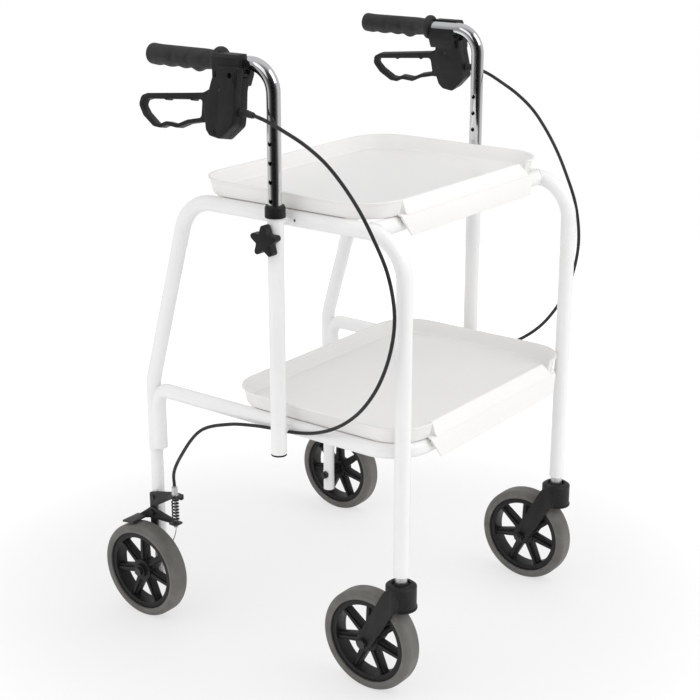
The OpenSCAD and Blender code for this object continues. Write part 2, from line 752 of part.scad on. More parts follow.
module housing_inner() {
    color(black) difference() {
        union() {
            at_brake() translate([0, 0, -housing_w / 2]) linear_extrude(housing_w / 2 - fit)
                soft_polygon(housing_pts, housing_radii);
            clamp_block(inner_clamp, clamp_from, clamp_to);
        }
        clamp_block(outer_room, clamp_from - 8, clamp_to + 8);
        housing_cuts();
    }
}
module housing_outer_right() {
    side(-1) housing_outer();
}
module housing_outer_left() {
    side(1) housing_outer();
}
module housing_inner_right() {
    side(-1) housing_inner();
}
module housing_inner_left() {
    side(1) housing_inner();
}
module housing_screws() {
    color(steel) {
        at_brake() translate([screw_at.x, screw_at.y, 0]) {
            translate([0, 0, -9.8]) cylinder(d = 4, h = 20);
            translate([0, 0, housing_w / 2 - 2.9]) cylinder(d = 7, h = 2.2);
        }
        for (u = clamp_screws) {
            translate([socket_x, socket_y + u, grip_z + clamp_screw_w]) along_x() {
                translate([0, 0, -10]) cylinder(d = 4, h = cheek_out + 8);
                translate([0, 0, cheek_out - 2.9]) cylinder(d = 7, h = 2.2);
            }
        }
    }
}
module housing_screws_right() {
    side(-1) housing_screws();
}
module housing_screws_left() {
    side(1) housing_screws();
}
module lever_pin() {
    color(steel) at_brake() translate([pivot.x, pivot.y, -housing_w / 2 - 0.4])
        cylinder(d = 6, h = housing_w + 0.8);
}
module lever_pin_right() {
    side(-1) lever_pin();
}
module lever_pin_left() {
    side(1) lever_pin();
}
module cable_boot() {
    d = boot_to - boot_from;
    color(black) at_brake() translate(boot_from) rotate([0, 0, atan2(d.y, d.x)]) along_x() difference() {
        cylinder(r1 = 6, r2 = 4, h = norm(d));
        translate([0, 0, -1]) cylinder(d = cable_d + 0.4, h = norm(d) + 2);
    }
}
module cable_boot_right() {
    side(-1) cable_boot();
}
module cable_boot_left() {
    side(1) cable_boot();
}

// Brake lever: a closed loop with a finger gap, pivoted in the housing
module brake_lever() {
    color(black) at_brake() translate([0, 0, -lever_w / 2]) linear_extrude(lever_w) difference() {
        soft_polygon(lever_outer, lever_radii);
        difference() {
            soft_polygon(lever_inner, lever_in_radii);
            for (p = lever_bumps) {
                translate(p) circle(r = 3.4);
            }
        }
        translate(pivot) circle(d = 6.1);
    }
}
module brake_lever_right() {
    side(-1) brake_lever();
}
module brake_lever_left() {
    side(1) brake_lever();
}

// Star knob with its stud, which ends just short of the stem
module star_knob() {
    color(black) translate([socket_x, socket_y, knob_z]) along_x() {
        translate([0, 0, boss_end + gap]) linear_extrude(14) {
            circle(r = 12.8);
            for (i = [0:knob_arms - 1]) {
                rotate(180 + i * 360 / knob_arms) tapered_bar([0, 0], [knob_r - knob_tip, 0], 10, knob_tip);
            }
        }
        translate([0, 0, stem_d / 2 + gap]) cylinder(d = 8, h = boss_end + gap - stem_d / 2);
    }
}
module star_knob_right() {
    side(-1) star_knob();
}
module star_knob_left() {
    side(1) star_knob();
}

// Tray moulding: flared wall on three sides, front edge rolled over the crossbar into a hanging lip
tray_cx = tray_half - tray_corner;
tray_cy = tray_back - tray_corner;
wall_pts = [[48, tray_low], [51.9, tray_low], [53.4, tray_low + 1.4], [57.6, tray_top - 2.4],
    [60, tray_top - 1.8], [60, tray_top], [58.4 - tray_t + 0.4, tray_top], [53.6 - tray_t, tray_floor + 0.6],
    [48, tray_floor]];
drop_n = 10;
slope_rise = 3.6;
slope_end = wall_start + 15;
drop_y = 15;
drop_low = tray_floor + slope_rise + 0.3;
function ease(s) = s * s * (3 - 2 * s);
drop_pts = concat([for (i = [0:drop_n])
    [wall_start - 0.1 + drop_y * i / drop_n, drop_low + (tray_top + 0.1 - drop_low) * ease(i / drop_n)]],
    [[wall_start + drop_y, tray_top + 20], [wall_start - 0.1, tray_top + 20]]);
crest = tray_low + 9.7;
front_pts = [[slope_end, tray_floor], [wall_start, tray_floor + slope_rise], [17, crest - 2.4], [7, crest],
    [-5, crest], [-6.4, crest - 1.2], [-6.4, crest - 6.6], [-6.4 + tray_t, crest - 6.6],
    [-6.4 + tray_t, crest - tray_t], [6, crest - tray_t], [16, crest - 2.4 - tray_t], [slope_end, tray_low]];
slope_pts = [[slope_end, tray_floor], [wall_start, tray_floor + slope_rise], [wall_start, tray_low + 1.4],
    [slope_end, tray_low + 1.4]];
lip_pts = [[-4, crest], [-17, crest - 2], [-21.6, crest - 6.4], [-21.6, -14.3], [-21.6 + tray_t, -14.3],
    [-21.6 + tray_t, crest - 7.4], [-16, crest - 2 - tray_t], [-4, crest - tray_t]];
module tray_floor_plan() {
    translate([-tray_cx, wall_start]) square([2 * tray_cx, tray_back - 9 - wall_start]);
    translate([-tray_half + 9, wall_start]) square([2 * tray_half - 18, tray_cy - wall_start]);
    for (m = [-1, 1]) {
        translate([m * tray_cx, tray_cy]) circle(r = tray_corner - 9);
    }
}
module tray() {
    color(cream) {
        difference() {
            union() {
                translate([0, 0, tray_low]) linear_extrude(tray_t) tray_floor_plan();
                both() {
                    translate([tray_cx, tray_cy, 0]) rotate([90, 0, 0])
                        linear_extrude(tray_cy - wall_start) polygon(wall_pts);
                    translate([tray_cx, tray_cy, 0]) rotate_extrude(angle = 90) polygon(wall_pts);
                }
                translate([-tray_cx, tray_cy, 0]) to_side() linear_extrude(2 * tray_cx) polygon(wall_pts);
            }
            translate([-tray_half - 10, 0, 0]) to_side() linear_extrude(2 * tray_half + 20) polygon(drop_pts);
        }
        translate([-notch_half, 0, 0]) to_side() linear_extrude(2 * notch_half) polygon(front_pts);
        translate([7.4 - tray_half, 0, 0]) to_side() linear_extrude(2 * tray_half - 14.8) polygon(slope_pts);
        intersection() {
            translate([-lip_half - 5, 0, 0]) to_side() linear_extrude(2 * lip_half + 10) polygon(lip_pts);
            translate([0, 10, 0]) rotate([90, 0, 0]) linear_extrude(50)
                polygon([[-lip_half - 3, crest + 1], [-lip_half + 16, -15], [lip_half - 16, -15],
                    [lip_half + 3, crest + 1]]);
        }
        both() {
            translate([notch_half - 8, -6.4, crest - 3]) rotate([-90, 0, 0]) linear_extrude(5) {
                translate([-6, -5]) square([12, 5]);
                translate([0, -5]) circle(r = 6);
            }
            translate([hoop_x - tube_d / 2 - 4, 52, tray_low - 9.4]) cube([3, bar_apart - 66, 9.5]);
        }
    }
}
module upper_tray() {
    translate([0, front_y + bar_front, rail_z]) tray();
}
module lower_tray() {
    translate([0, front_y, shelf_z]) tray();
}

side_hoop_right();
side_hoop_left();
upper_front_crossbar();
upper_rear_crossbar();
shelf_frame();
shelf_rear_crossbar();
rear_leg_tube_right();
rear_leg_tube_left();
handle_socket_right();
handle_socket_left();
socket_collars();
tube_end_plugs();
standoffs();
brake_bracket_right();
brake_bracket_left();
brake_bolts();
cable_adjusters();
rear_axle_bolts();
rear_axle_spacers();
caster_stems();
caster_fork_right();
caster_fork_left();
caster_axle_right();
caster_axle_left();
caster_hub_right();
caster_hub_left();
caster_tyre_right();
caster_tyre_left();
rear_hub_right();
rear_hub_left();
rear_tyre_right();
rear_tyre_left();
handle_stem_right();
handle_stem_left();
grip_right();
grip_left();
housing_outer_right();
housing_outer_left();
housing_inner_right();
housing_inner_left();
housing_screws_right();
housing_screws_left();
lever_pin_right();
lever_pin_left();
cable_boot_right();
cable_boot_left();
brake_lever_right();
brake_lever_left();
star_knob_right();
star_knob_left();
brake_arm_right();
brake_arm_left();
wire_stop_right();
wire_stop_left();
brake_spring_right();
brake_spring_left();
brake_cable_right();
brake_cable_left();
upper_tray();
lower_tray();
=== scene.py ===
# %% [markdown]
# An indoor walker with two trays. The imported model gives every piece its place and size. Here each piece gets
# the finish that the real walker shows, and the moulded, wound and welded pieces get the softer shapes that a
# plain solid lacks. Lengths are in metres, +Z is up, the user stands at +Y, and -X is the side near the camera.

# %% Load the walker
import json
import math
import bpy
from mathutils import Matrix, Vector


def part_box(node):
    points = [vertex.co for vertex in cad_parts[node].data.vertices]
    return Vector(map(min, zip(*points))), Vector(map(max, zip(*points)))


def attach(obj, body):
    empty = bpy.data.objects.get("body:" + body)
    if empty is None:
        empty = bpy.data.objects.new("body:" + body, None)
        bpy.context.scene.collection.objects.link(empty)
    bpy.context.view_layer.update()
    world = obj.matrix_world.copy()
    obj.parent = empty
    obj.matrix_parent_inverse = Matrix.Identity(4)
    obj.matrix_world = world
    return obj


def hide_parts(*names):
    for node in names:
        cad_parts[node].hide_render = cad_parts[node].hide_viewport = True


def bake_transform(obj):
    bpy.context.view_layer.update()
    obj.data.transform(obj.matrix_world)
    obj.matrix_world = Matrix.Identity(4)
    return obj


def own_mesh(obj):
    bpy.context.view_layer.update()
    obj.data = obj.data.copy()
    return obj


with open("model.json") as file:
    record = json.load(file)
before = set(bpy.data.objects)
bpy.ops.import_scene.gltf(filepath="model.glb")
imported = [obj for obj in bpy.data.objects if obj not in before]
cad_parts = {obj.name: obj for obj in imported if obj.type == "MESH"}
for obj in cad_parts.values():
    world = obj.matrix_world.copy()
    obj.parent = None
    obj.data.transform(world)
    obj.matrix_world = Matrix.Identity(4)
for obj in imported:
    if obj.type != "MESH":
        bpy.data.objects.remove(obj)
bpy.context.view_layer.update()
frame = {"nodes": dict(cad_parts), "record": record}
nodes = frame["nodes"]
SIDES = {"right": -1, "left": 1}

# %% [markdown]
# The camera comes first, because everything is judged through it. Its place was found by fitting a pinhole
# camera to the wheels, the legs and the trays: it stands in front of the walker, on the user's right, a little
# above the grips, and looks slightly down. A long lens keeps the four legs nearly parallel.

# %% Camera
bpy.ops.object.camera_add(location=(-1.72565, -1.29508, 1.12481),
                          rotation=(math.radians(71.53), 0, math.radians(-53.21)))
camera = bpy.context.object
camera.name = "photo_camera"
camera.data.lens = 76.55
camera.data.sensor_width = 36
camera.data.dof.use_dof = False
bpy.context.scene.camera = camera
print("camera set, lens", camera.data.lens)

# %% [markdown]
# A few helpers do what a modeller does again and again: clear the selection, take up one piece, work on it in
# edit mode, apply its modifiers, and hand it over. Every finished piece keeps its place in its mesh, rides on
# the body that carries it, and names the finish that it takes from the record.

# %% Helpers for handling pieces
def take_up(piece):
    """Make one piece the only selected and active one."""
    bpy.ops.object.select_all(action="DESELECT")
    piece.select_set(True)
    bpy.context.view_layer.objects.active = piece


def settle(piece):
    """Move a piece's place, turn and scale into its mesh."""
    take_up(piece)
    bpy.ops.object.transform_apply(location=True, rotation=True, scale=True)


def apply_modifiers(piece):
    """Turn a piece's modifiers into mesh, in their order."""
    take_up(piece)
    for modifier in list(piece.modifiers):
        bpy.ops.object.modifier_apply(modifier=modifier.name)


def soften(piece, angle=40):
    """Shade a piece smooth, but keep the edges that are sharper than the angle, in degrees."""
    take_up(piece)
    bpy.ops.object.shade_smooth_by_angle(angle=math.radians(angle))


def hand_over(piece, name, body, slot, stands_for=()):
    """Name a finished piece, let it ride on its body, and let it stand for the plain solids under it."""
    settle(piece)
    piece.name = name
    piece.data.name = name
    piece.data.materials.clear()
    piece.data.materials.append(FINISHES[slot])
    if body:
        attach(piece, body)
    for node in stands_for:
        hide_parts(node)
    return piece


print("helpers ready")

# %% [markdown]
# The real walker has eight finishes: white powder coat, chrome, bright zinc, black coated metal, grained black
# moulding, soft black rubber, grey tyre rubber and the trays' white plastic. None of them is one flat colour, so
# each is built from noise at the scale of the real texture: a colour that drifts, a roughness that varies, and a
# fine bump. Object coordinates are used, because every piece keeps its place in its mesh, so a pattern never slides.

# %% Building blocks for finishes
NOISE_LOW, NOISE_HIGH = 0.15, 0.85      # noise hardly leaves this range, so no contour shows where it is cut off


def new_finish(name):
    """A new material with its node tree, its shader and the coordinates that its patterns use."""
    finish = bpy.data.materials.new(name)
    finish.use_nodes = True
    tree = finish.node_tree
    place = tree.nodes.new("ShaderNodeTexCoord").outputs["Object"]
    return finish, tree, tree.nodes["Principled BSDF"], place


def stretched(tree, place, scale):
    """Coordinates that are scaled along each axis, for a pattern of lines."""
    mapping = tree.nodes.new("ShaderNodeMapping")
    mapping.inputs["Scale"].default_value = scale
    tree.links.new(place, mapping.inputs["Vector"])
    return mapping.outputs["Vector"]


def speckle(tree, place, scale, detail=3.0, rough=0.55):
    """Noise with about as many patches to the metre as the scale says."""
    noise = tree.nodes.new("ShaderNodeTexNoise")
    noise.inputs["Scale"].default_value = scale
    noise.inputs["Detail"].default_value = detail
    noise.inputs["Roughness"].default_value = rough
    tree.links.new(place, noise.inputs["Vector"])
    return noise.outputs["Fac"]


def shades(tree, value, stops):
    """A value turned into colours: each stop is a position and a colour."""
    ramp = tree.nodes.new("ShaderNodeValToRGB")
    ramp.color_ramp.elements[0].position, ramp.color_ramp.elements[1].position = stops[0][0], stops[-1][0]
    for position, _ in stops[1:-1]:
        ramp.color_ramp.elements.new(position)
    for element, (_, colour) in zip(ramp.color_ramp.elements, stops):
        element.color = (*colour, 1)
    tree.links.new(value, ramp.inputs["Fac"])
    return ramp.outputs["Color"]


def between(tree, value, low, high):
    """Noise spread from a low to a high roughness."""
    span = tree.nodes.new("ShaderNodeMapRange")
    span.inputs["From Min"].default_value, span.inputs["From Max"].default_value = NOISE_LOW, NOISE_HIGH
    span.inputs["To Min"].default_value, span.inputs["To Max"].default_value = low, high
    tree.links.new(value, span.inputs["Value"])
    return span.outputs["Result"]


def raised(tree, height, strength, distance):
    """A bump from noise; the distance is the height of the relief in metres."""
    bump = tree.nodes.new("ShaderNodeBump")
    bump.inputs["Strength"].default_value = strength
    bump.inputs["Distance"].default_value = distance
    tree.links.new(height, bump.inputs["Height"])
    return bump.outputs["Normal"]


def wire_up(tree, shader, colour, roughness, relief):
    """Link the three patterns of a finish to its shader."""
    for socket, pattern in (("Base Color", colour), ("Roughness", roughness), ("Normal", relief)):
        tree.links.new(pattern, shader.inputs[socket])


FINISHES = {}
print("building blocks ready")

# %% [markdown]
# Powder coat is thick paint baked on the tubes. Its surface has a faint orange peel of two or three millimetres,
# and the white drifts a little where the coat is thinner. The trays are smoother, with a soft gloss and the fine
# matt mottle of a moulding, and a warmer white. Their floors carry painted shade: the finish asks which way a face
# looks and paints a greyer tone where it looks straight up, standing in for the shade that the floors show.

# %% White finishes
def white_powder_coat():
    finish, tree, shader, place = new_finish("white_powder_coat")
    colour = shades(tree, speckle(tree, place, 9, 4), [(0.35, (0.85, 0.85, 0.846)), (0.65, (0.88, 0.88, 0.876))])
    roughness = between(tree, speckle(tree, place, 24, 2), 0.28, 0.34)
    peel = raised(tree, speckle(tree, place, 340, 1, 0.3), 0.035, 0.0004)
    wire_up(tree, shader, colour, roughness, peel)
    shader.inputs["Coat Weight"].default_value = 0.25
    shader.inputs["Coat Roughness"].default_value = 0.18
    return finish


def level_faces_for_painted_shade(tree):
    """1 where a face looks straight up, 0 where it leans by more than about 15 degrees: the mask of the painted shade.
    """
    facing = tree.nodes.new("ShaderNodeSeparateXYZ")
    tree.links.new(tree.nodes.new("ShaderNodeNewGeometry").outputs["Normal"], facing.inputs["Vector"])
    level = tree.nodes.new("ShaderNodeMapRange")
    level.inputs["From Min"].default_value, level.inputs["From Max"].default_value = 0.965, 0.998
    tree.links.new(facing.outputs["Z"], level.inputs["Value"])
    return level.outputs["Result"]


def white_tray_plastic():
    finish, tree, shader, place = new_finish("white_tray_plastic")
    drift = speckle(tree, place, 7, 4)
    wall_tone = shades(tree, drift, [(0.1, (0.855, 0.845, 0.831)), (0.9, (0.885, 0.875, 0.861))])
    # Painted shade: faces that look straight up take this greyer tone instead of the wall's white.
    floor_painted_shade = shades(tree, drift, [(0.1, (0.765, 0.762, 0.756)), (0.9, (0.785, 0.782, 0.776))])
    mix = tree.nodes.new("ShaderNodeMix")
    mix.data_type = "RGBA"
    tree.links.new(level_faces_for_painted_shade(tree), mix.inputs["Factor"])
    tree.links.new(wall_tone, mix.inputs["A"])
    tree.links.new(floor_painted_shade, mix.inputs["B"])
    roughness = between(tree, speckle(tree, place, 11, 2), 0.27, 0.33)
    mottle = raised(tree, speckle(tree, place, 260, 1, 0.3), 0.012, 0.0004)
    wire_up(tree, shader, mix.outputs["Result"], roughness, mottle)
    return finish


FINISHES["frame_paint"] = white_powder_coat()
FINISHES["tray_plastic"] = white_tray_plastic()
print("white finishes made")

# %% [markdown]
# The handle stems are polished chrome: nearly a mirror, with long faint polishing lines along the tube and a few
# smudges. Bolts, nuts and cable ends are bright zinc, which is greyer, rougher and cloudy.

# %% Bright metals
def polished_chrome():
    finish, tree, shader, place = new_finish("polished_chrome")
    shader.inputs["Metallic"].default_value = 1
    colour = shades(tree, speckle(tree, place, 14, 3), [(0.3, (0.74, 0.75, 0.76)), (0.7, (0.82, 0.82, 0.83))])
    smudges = between(tree, speckle(tree, place, 38, 5, 0.6), 0.05, 0.13)
    lines = raised(tree, speckle(tree, stretched(tree, place, (900, 900, 12)), 1, 3), 0.02, 0.0002)
    wire_up(tree, shader, colour, smudges, lines)
    return finish


def bright_zinc():
    finish, tree, shader, place = new_finish("bright_zinc")
    shader.inputs["Metallic"].default_value = 1
    colour = shades(tree, speckle(tree, place, 130, 4), [(0.3, (0.52, 0.53, 0.54)), (0.7, (0.70, 0.70, 0.70))])
    clouds = between(tree, speckle(tree, place, 300, 4), 0.22, 0.42)
    grain = raised(tree, speckle(tree, place, 1400, 3), 0.08, 0.0002)
    wire_up(tree, shader, colour, clouds, grain)
    return finish


FINISHES["chrome_tube"] = polished_chrome()
FINISHES["zinc_steel"] = bright_zinc()
print("bright metals made")

# %% [markdown]
# The black pieces differ mostly in how they scatter light. Coated metal is satin, moulded plastic has a fine spark
# grain of about half a millimetre with scuffed, greyer patches, and rubber is soft and matt with a bloom of dust.
# The tyres are a warm mid grey with darker and paler patches where they have rolled.

# %% Black and grey finishes
def satin_black_coat():
    finish, tree, shader, place = new_finish("satin_black_coat")
    colour = shades(tree, speckle(tree, place, 60, 4), [(0.35, (0.012, 0.012, 0.012)), (0.7, (0.024, 0.024, 0.024))])
    roughness = between(tree, speckle(tree, place, 120, 3), 0.32, 0.48)
    grain = raised(tree, speckle(tree, place, 900, 2), 0.10, 0.0002)
    wire_up(tree, shader, colour, roughness, grain)
    return finish


def grained_black_moulding():
    finish, tree, shader, place = new_finish("grained_black_moulding")
    colour = shades(tree, speckle(tree, place, 26, 6, 0.65),
                    [(0.3, (0.009, 0.009, 0.010)), (0.62, (0.014, 0.014, 0.015)), (0.8, (0.026, 0.026, 0.027))])
    roughness = between(tree, speckle(tree, place, 80, 4), 0.40, 0.56)
    grain = raised(tree, speckle(tree, place, 1700, 2, 0.7), 0.22, 0.0003)
    wire_up(tree, shader, colour, roughness, grain)
    shader.inputs["Specular IOR Level"].default_value = 0.3
    return finish


def soft_black_rubber():
    finish, tree, shader, place = new_finish("soft_black_rubber")
    colour = shades(tree, speckle(tree, place, 40, 5, 0.6),
                    [(0.35, (0.014, 0.014, 0.015)), (0.75, (0.030, 0.030, 0.031))])
    bloom = between(tree, speckle(tree, place, 90, 3), 0.50, 0.68)
    grain = raised(tree, speckle(tree, place, 1100, 3), 0.16, 0.0003)
    wire_up(tree, shader, colour, bloom, grain)
    return finish


def grey_tyre_rubber():
    finish, tree, shader, place = new_finish("grey_tyre_rubber")
    colour = shades(tree, speckle(tree, place, 30, 6, 0.6),
                    [(0.3, (0.105, 0.100, 0.092)), (0.55, (0.135, 0.130, 0.120)), (0.8, (0.175, 0.168, 0.155))])
    roughness = between(tree, speckle(tree, place, 70, 4), 0.40, 0.60)
    grain = raised(tree, speckle(tree, place, 800, 3), 0.12, 0.0003)
    wire_up(tree, shader, colour, roughness, grain)
    return finish


FINISHES["black_metal"] = satin_black_coat()
FINISHES["black_plastic"] = grained_black_moulding()
FINISHES["black_rubber"] = soft_black_rubber()
FINISHES["tyre_grey"] = grey_tyre_rubber()
print("finishes:", ", ".join(FINISHES))

# %% [markdown]
# Every solid that is carried over takes the finish that its slot in the record names. The solids keep their meshes
# as they are; only the material in their slot changes.

# %% Dress the carried-over solids
SLOT_OF = {part["node"]: part["material_slot"] for part in frame["record"]["subparts"]}
for node, solid in nodes.items():
    solid.data.materials.clear()
    solid.data.materials.append(FINISHES[SLOT_OF[node]])
print("dressed", len(nodes), "solids")

# %% [markdown]
# The stage is a plain white studio. The floor is a sheet of white paper that keeps the soft shadows; a glow of its
# own, seen only by the camera and growing away from the walker, lets it run into the white behind without an edge.

# %% Floor
FLOOR_SIZE, FLOOR_CENTRE = 3.0, (0.56, 0.42, -0.0005)
PAPER_FOR_LIGHT, PAPER_FOR_CAMERA = (0.90, 0.90, 0.90, 1), (0.27, 0.27, 0.27, 1)
bpy.ops.object.select_all(action="DESELECT")
bpy.ops.mesh.primitive_plane_add(size=FLOOR_SIZE, location=FLOOR_CENTRE, rotation=(0, 0, math.atan2(0.6, 0.8)))
floor = bpy.context.object
floor.name = "floor"
settle(floor)
paper = bpy.data.materials.new("white_paper_floor")
paper.use_nodes = True
paper_nodes, paper_links = paper.node_tree.nodes, paper.node_tree.links
sheet = paper_nodes["Principled BSDF"]
sheet.inputs["Roughness"].default_value = 0.9
sheet.inputs["Specular IOR Level"].default_value = 0.1
eye = paper_nodes.new("ShaderNodeLightPath").outputs["Is Camera Ray"]
tone = paper_nodes.new("ShaderNodeMix")
tone.data_type = "RGBA"
tone.inputs["A"].default_value = PAPER_FOR_LIGHT
tone.inputs["B"].default_value = PAPER_FOR_CAMERA
paper_links.new(eye, tone.inputs["Factor"])
paper_links.new(tone.outputs["Result"], sheet.inputs["Base Color"])
away = paper_nodes.new("ShaderNodeVectorMath")
away.operation = "LENGTH"
paper_links.new(paper_nodes.new("ShaderNodeTexCoord").outputs["Object"], away.inputs[0])
reach = paper_nodes.new("ShaderNodeMapRange")
reach.interpolation_type = "SMOOTHSTEP"
for label, value in (("From Min", 0.35), ("From Max", 1.1), ("To Min", 0.635), ("To Max", 0.90)):
    reach.inputs[label].default_value = value
paper_links.new(away.outputs["Value"], reach.inputs["Value"])
glow = paper_nodes.new("ShaderNodeMath")
glow.operation = "MULTIPLY"
paper_links.new(eye, glow.inputs[0])
paper_links.new(reach.outputs["Result"], glow.inputs[1])
sheet.inputs["Emission Color"].default_value = (1, 1, 1, 1)
paper_links.new(glow.outputs[0], sheet.inputs["Emission Strength"])
floor.data.materials.append(paper)
print("floor laid:", FLOOR_SIZE, "m wide")

# %% [markdown]
# The room around it is pure white to the camera and a little weaker as a light. For reflections its side behind the
# camera is dark, as in a real studio, so the chrome gets its core. The light path tells the three apart.

# %% White studio
TOWARDS_CAMERA = (-0.80, -0.60, 0.0)
world = bpy.data.worlds.new("white_studio")
bpy.context.scene.world = world
world.use_nodes = True
room, room_links = world.node_tree.nodes, world.node_tree.links
towards = room.new("ShaderNodeVectorMath")
towards.operation = "DOT_PRODUCT"
towards.inputs[1].default_value = TOWARDS_CAMERA
room_links.new(room.new("ShaderNodeTexCoord").outputs["Generated"], towards.inputs[0])
GREYS = ((0.08, 0.95), (0.37, 0.50), (0.60, 0.17), (0.80, 0.06), (0.95, 0.012))
dark_side = shades(world.node_tree, towards.outputs["Value"], [(position, (grey,) * 3) for position, grey in GREYS])


def backdrop(strength, colour=None):
    """Light from the room, white unless a colour is given."""
    light = room.new("ShaderNodeBackground")
    light.inputs["Color"].default_value = (1, 1, 1, 1)
    light.inputs["Strength"].default_value = strength
    if colour:
        room_links.new(colour, light.inputs["Color"])
    return light.outputs[0]


def either(choice, no, yes):
    """One of two backdrops, by the kind of ray."""
    mix = room.new("ShaderNodeMixShader")
    room_links.new(choice, mix.inputs["Fac"])
    room_links.new(no, mix.inputs[1])
    room_links.new(yes, mix.inputs[2])
    return mix.outputs[0]


rays = room.new("ShaderNodeLightPath").outputs
light_or_gloss = either(rays["Is Glossy Ray"], backdrop(0.93), backdrop(0.66, dark_side))
room_links.new(either(rays["Is Camera Ray"], light_or_gloss, backdrop(1.0)), room["World Output"].inputs["Surface"])
bpy.context.scene.view_settings.view_transform = "Standard"
print("stage set")

# %% [markdown]
# Two soft boxes shape the white tubes: a large one high on the camera's right, and a weaker one on the left.
# They are wide and far away, so the shadows under the wheels stay soft.

# %% Soft boxes
AIM = Vector((0, 0, 0.4))


def soft_box(name, place, size, power):
    """A square lamp that looks at the middle of the walker."""
    bpy.ops.object.light_add(type="AREA", location=place)
    lamp = bpy.context.object
    lamp.name = name
    lamp.data.shape = "SQUARE"
    lamp.data.size = size
    lamp.data.energy = power
    lamp.rotation_euler = (AIM - Vector(place)).to_track_quat("-Z", "Y").to_euler()


soft_box("key_box", (0.6, -2.6, 3.2), 2.4, 39)
soft_box("fill_box", (-3.0, 0.6, 2.6), 2.0, 12)
print("two soft boxes placed")

# %% [markdown]
# The brake cable is a stiff black sleeve about a metre long. It leaves the rubber boot on the lever housing, bows
# out in front of the frame, runs back beside the lower rail and drops into the adjuster over the rear wheel. A
# curve with a round bevel is the natural way to draw it. Its ends are those of the solid model, the points between
# follow the arc that the photograph shows, and a smooth spline joins them. It becomes a mesh, which stays as it
# is drawn when the handle slides.

# %% Smooth routes and round wires
def spline_point(points, i, s):
    """A point on the smooth curve between control point i and the next, spaced by the gaps between the points."""
    b, c = points[i], points[i + 1]
    a = points[i - 1] if i > 0 else 2 * b - c
    d = points[i + 2] if i + 2 < len(points) else 2 * c - b
    t0, t1 = 0.0, (b - a).length ** 0.5
    t2 = t1 + (c - b).length ** 0.5
    t3 = t2 + (d - c).length ** 0.5
    t = t1 + s * (t2 - t1)
    ab, bc, cd = a.lerp(b, t / t1), b.lerp(c, s), c.lerp(d, (t - t2) / (t3 - t2))
    return ab.lerp(bc, (t - t0) / (t2 - t0)).lerp(bc.lerp(cd, (t - t1) / (t3 - t1)), s)


def smooth_route(points, steps):
    """A smooth curve through all points, with as many steps from each to the next."""
    route = [spline_point(points, i, k / steps) for i in range(len(points) - 1) for k in range(steps)]
    return route + [points[-1]]


def route_length(route):
    return sum((b - a).length for a, b in zip(route, route[1:]))


def on_side(points, s):
    """Points given in millimetres for the left side, in metres on either side."""
    return [Vector((s * x, y, z)) / 1000 for x, y, z in points]


def round_wire(name, route, radius, sides=12, swell=None):
    """A round wire along a route, as a mesh with closed ends; swell scales the radius point by point."""
    curve = bpy.data.curves.new(name, "CURVE")
    curve.dimensions = "3D"
    curve.bevel_depth = radius
    curve.bevel_resolution = max(0, sides // 4 - 1)
    curve.use_fill_caps = True
    spline = curve.splines.new("POLY")
    spline.points.add(len(route) - 1)
    for i, (point, co) in enumerate(zip(spline.points, route)):
        point.co = (*co, 1)
        point.radius = swell[i] if swell else 1
    wire = bpy.data.objects.new(name, curve)
    bpy.context.collection.objects.link(wire)
    take_up(wire)
    bpy.ops.object.convert(target="MESH")
    bpy.ops.object.shade_smooth_by_angle(angle=math.radians(50))
    return bpy.context.object


print("wire helpers ready")

# %% [markdown]
# Below the adjuster the inner wire is bare. It runs down inside the brake spring, through the tab of the brake arm and
# the stop under it. The lever draws it up into the sleeve, so on the real walker the part above the tab gets shorter;
# here that part is drawn at rest and rides on the frame, and the tail below rides on the brake arm.

# %% Two brake cables with their inner wires
CABLE_POINTS = [(270.225, -31.6, 806.82), (270.723, -52.8, 804.329), (268.8, -73.5, 798.6), (266, -99, 788),
                (262.6, -128, 774.2), (258.9, -158.5, 753.8), (255.2, -184, 728), (251.5, -208.5, 695.7),
                (248.5, -228, 662), (245.6, -246, 624), (243.6, -255, 587), (242.6, -256.8, 556),
                (242.2, -251.5, 519.4), (241.8, -240.2, 484.5), (241, -222.5, 450.4), (240, -196.5, 417.6),
                (237, -161, 389.8), (233.4, -120, 370.6), (230.6, -72.4, 360), (230.6, -31, 357), (231.2, -3, 353.8),
                (232, 38, 346), (233.5, 93, 324), (235.5, 132, 276), (236, 148.5, 243), (236, 148.5, 222.6)]
SLEEVE_RADIUS, WIRE_RADIUS = 0.0025, 0.0008
WIRE_X, WIRE_Y, WIRE_TOP = 236, 148.5, 223      # the upright line of wire and spring, in millimetres
TAIL_BEND = [(236, 148.5, 156), (236, 148.5, 150.5), (235.6, 149.5, 147), (234.6, 152, 141), (233, 156.5, 133),
             (231.6, 160.5, 126)]
for side, s in SIDES.items():
    route = smooth_route(on_side(CABLE_POINTS, s), 8)
    sleeve = round_wire("cable_sleeve_" + side, route, SLEEVE_RADIUS, 16)
    hand_over(sleeve, "cable_sleeve_" + side, None, "black_rubber", ["brake_cable_" + side])
    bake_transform(sleeve)
    _, stop_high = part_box("wire_stop_" + side)
    in_tab = 1000 * stop_high.z + 1.4
    upright = on_side([(WIRE_X, WIRE_Y, z) for z in (WIRE_TOP, 210, 190, in_tab)], s)
    bare = round_wire("inner_wire_" + side, upright, WIRE_RADIUS, 8)
    hand_over(bare, "inner_wire_" + side, "frame", "zinc_steel")
    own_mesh(bare)
    tail = on_side([(WIRE_X, WIRE_Y, in_tab - 0.6)] + TAIL_BEND, s)
    tail_wire = round_wire("wire_tail_" + side, smooth_route(tail, 4), WIRE_RADIUS, 8)
    hand_over(tail_wire, "wire_tail_" + side, "brake_" + side, "zinc_steel")
    print("cable", side, "length", round(route_length(route), 3))
